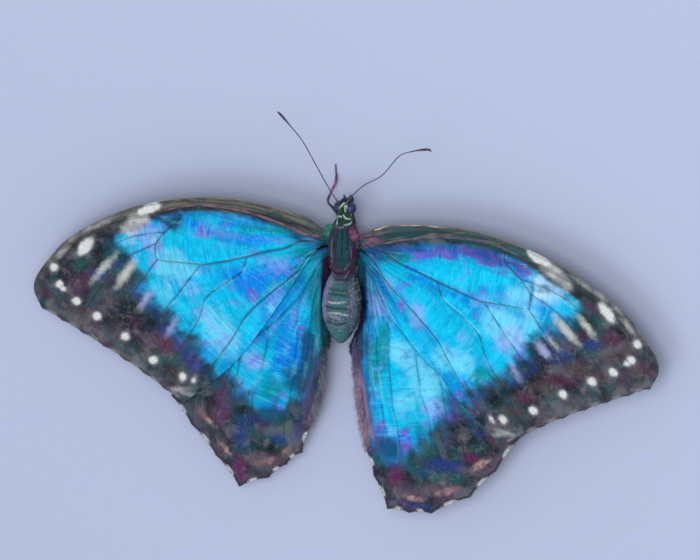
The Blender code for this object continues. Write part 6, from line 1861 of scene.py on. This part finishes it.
def build_wing_roots(side):
    """Soft hair over the wings' roots, and along the hindwing's inner fold."""
    rng = np.random.default_rng(91)
    shells = []
    _, _, low, size = ring_of("forewing", side)
    count = 420
    out = 2.9 + 2.2 * rng.uniform(0, 1, count) ** 1.5
    back = rng.uniform(-0.6, 2.4, count)
    p = np.stack([out, back], 1)
    ring = forewing_outline()[0]
    p = p[inside_ring(p, ring)]
    way = np.stack([np.ones(len(p)), 0.25 + 0.25 * p[:, 1]], 1)
    shells.append(wing_hair("", "forewing", side, p, way, 0.75, 0.08, 0.16, 0.2, 92, None, None, low, size))
    shell = joined(shells)
    s = Shader("root hair " + side)
    colour = s.mix(s.smooth(s.noise(s.attr("home", "Vector"), 0.9, 2, 0.5), 0.35, 0.65), "103c48", "1d5f78")
    colour = s.mix(s.mul(s.smooth(s.attr("own"), 0.4, 0.0), 0.5), colour, "0e1a26")
    name = f"forewing_{side}_root_hair"
    show(name, mesh_of(name, in_frame(shell[0]), shell[1], shell[2], shell[3]), s.finish(colour, 0.7, None, Specular_IOR_Level=0.05), "forewing")

    ring, _, low, size = ring_of("hindwing", side)
    inner = smooth_run(HINDWING_INNER_EDGE[side][:-1], 0.1)
    count = 900
    inner = inner[inner[:, 1] > 19.5]
    k = rng.integers(0, len(inner), count)
    inward = rng.uniform(0.03, 1.15, count) ** 1.5
    inward *= np.clip((inner[k, 1] - 19.0) / 5.0, 0.25, 1)
    p = inner[k] + np.stack([inward, rng.uniform(-0.1, 0.1, count)], 1)
    p = p[inside_ring(p, ring)]
    way = np.stack([-0.35 + 0.2 * rng.normal(size=len(p)), np.ones(len(p))], 1)
    length = 1.5 - 0.3 * rng.uniform(0, 1, len(p))
    shell = wing_hair("", "hindwing", side, p, way, length, 0.07, 0.10, 0.14, 94, None, None, low, size, stray=0.14)
    shell[3]["hem"] = np.zeros(len(shell[0]))
    # a hem of soft hair from the edge towards the abdomen, dark as painted shade across the gap
    line = smooth_run(HINDWING_INNER_EDGE[side][:-1], 0.1)
    line = line[(line[:, 1] > 4.2) & (line[:, 1] < 23.0)]
    count = 3400
    k = rng.integers(0, len(line), count)
    inward = (0.03 + 0.60 * rng.uniform(0, 1, count) ** 2.2) * np.interp(line[k, 1], [4.2, 8.5], [0.25, 1.0])
    q = line[k] + np.stack([inward, rng.uniform(-0.1, 0.1, count)], 1)
    keep = inside_ring(q, ring)
    q, k = q[keep], k[keep]
    way = np.stack([-1.0 + 0.15 * rng.normal(size=len(q)), 0.55 + 0.2 * rng.normal(size=len(q))], 1)
    gap = q[:, 0] - np.array([trunk_section(b)[0] if b < 21 else 0.0 for b in q[:, 1]])
    length = np.clip(gap + 0.4, 0.6, 2.0) * (0.75 + 0.4 * rng.uniform(0, 1, len(q)))
    length *= np.interp(q[:, 1], [4.2, 7.5, 17.5, 23.0], [0.45, 1.0, 1.0, 0.45]) * (0.8 + 0.4 * rng.uniform(0, 1, len(q)))
    hem = wing_hair("", "hindwing", side, q, way, length, 0.13, -0.06, 0.10, 95, None, None, low, size, stray=0.20)
    hem[3]["hem"] = np.ones(len(hem[0]))
    # upright hair that closes the slit under the forewing's root, dark as painted shade
    across = rng.uniform(2.4, 8.2, 1500)
    q = np.stack([across, np.interp(across, [2.4, 4.6, 11.0], [1.6, 2.0, 5.2])], 1)
    q[:, 1] += rng.uniform(0.06, 1.0, len(q)) * np.interp(across, [2.4, 4.6, 6.5], [0.25, 0.35, 0.8])
    q = q[inside_ring(q, ring)]
    slit = wing_hair("", "hindwing", side, q, np.tile((0.0, -1.0), (len(q), 1)), np.interp(q[:, 0], [3.4, 5.8], [1.0, 0.78]), 0.14, 1.10, 0.15, 96, None, None, low, size)
    slit[3]["hem"] = np.ones(len(slit[0]))
    # and hair from the wing's root over the waist, dark as painted shade
    share = rng.uniform(0, 1, 500)
    q = np.stack([2.6 + 1.5 * share, 3.72 + 0.84 * share - rng.uniform(0.03, 0.30, len(share))], 1)
    q = q[inside_ring(q, ring)]
    waist = wing_hair("", "hindwing", side, q, np.tile((-0.15, 1.0), (len(q), 1)), 1.25, 0.13, -0.04, 0.08, 97, None, None, low, size)
    waist[3]["hem"] = np.ones(len(waist[0]))
    shell = joined([shell, hem, slit, waist])
    s = Shader("fold hair " + side)
    small = s.noise(s.attr("home", "Vector"), 0.5, 2, 0.5)
    where = s.node("ShaderNodeSeparateXYZ")
    s.put(where.inputs[0], s.attr("home", "Vector"))
    rear = s.smooth(s.add(where.outputs[1], s.mul(s.math("SUBTRACT", small, 0.5), 6.0)), 21.0, 30.0)
    front_hue, rear_hue = ("1d5058", "858ca6") if side == "left" else ("5c5a84", "ac94ac")
    colour = s.mix(rear, front_hue, rear_hue)
    colour = s.mix(s.mul(s.smooth(small, 0.45, 0.65), 0.6), colour, "66607c" if side == "left" else "7b6c96")
    pale = s.mul(s.smooth(s.attr("own"), 0.70, 0.95), s.smooth(where.outputs[1], 24.0, 30.0))
    colour = s.mix(s.mul(pale, 0.68 if side == "left" else 0.70), colour, "c0aca0")
    # the hem, slit and waist hair take dark hues: painted shade in the gaps between the wings and the body
    gap_shade_hues = ("2a1430", "10123a", "0c4450", "474a70") if side == "left" else ("0c4c58", "070c2a", "0c1836", "5c5876")
    gap_shade = s.mix(s.smooth(where.outputs[1], 6.5, 9.5), gap_shade_hues[0], gap_shade_hues[1])
    gap_shade = s.mix(s.smooth(where.outputs[1], 13.0, 17.0), gap_shade, gap_shade_hues[2])
    gap_shade = s.mix(s.smooth(s.add(where.outputs[1], s.mul(s.math("SUBTRACT", small, 0.5), 4.0)), 20.5, 25.5), gap_shade, gap_shade_hues[3])
    gap_shade = s.mix(s.mul(s.smooth(small, 0.48, 0.62), 0.35), gap_shade, "2c1c3c" if side == "left" else "142050")
    colour = s.mix(s.attr("hem"), colour, gap_shade)
    colour = s.mix(s.mul(s.smooth(s.attr("own"), 0.35, 0.0), 0.5), colour, "1c2434")
    name = f"hindwing_{side}_fold_hair"
    show(name, mesh_of(name, in_frame(shell[0]), shell[1], shell[2], shell[3]), s.finish(colour, 0.7, None, Specular_IOR_Level=0.05), "hindwing")


# ==================================================================== floor
def make_floor():
    """The floor: plain, pale and matte, with a very fine grain."""
    mesh = bpy.data.meshes.new("floor")
    size = 3.0
    mesh.from_pydata([(-size, -size, 0), (size, -size, 0), (size, size, 0), (-size, size, 0)], [], [(0, 1, 2, 3)])
    s = Shader("floor")
    mm = s.scaled(s.position(), (1000.0, 1000.0, 1000.0))
    grain = s.noise(mm, 1.6, 3, 0.6)
    colour = s.mix(s.mul(s.smooth(grain, 0.35, 0.65), 0.25), "b9c3e2", "c3cce6")
    floor = new_object("floor", mesh, s.finish(colour, 0.95, s.bump(grain, 0.05, 0.3), Specular_IOR_Level=0.1))
    floor.location = (0, 0, -0.0001)


make_camera()
make_lights()
make_floor()
for side in SIDE:
    for wing in ("forewing", "hindwing"):
        build_wing(wing, side, (wing_top(wing, side), wing_underside(wing, side)))
        build_fringe(wing, side)
    build_wing_roots(side)
    build_tegula(side)
    build_eye(side)
    build_feeler(side)
    build_legs(side)
build_skin()
build_body_coat()
build_proboscis()
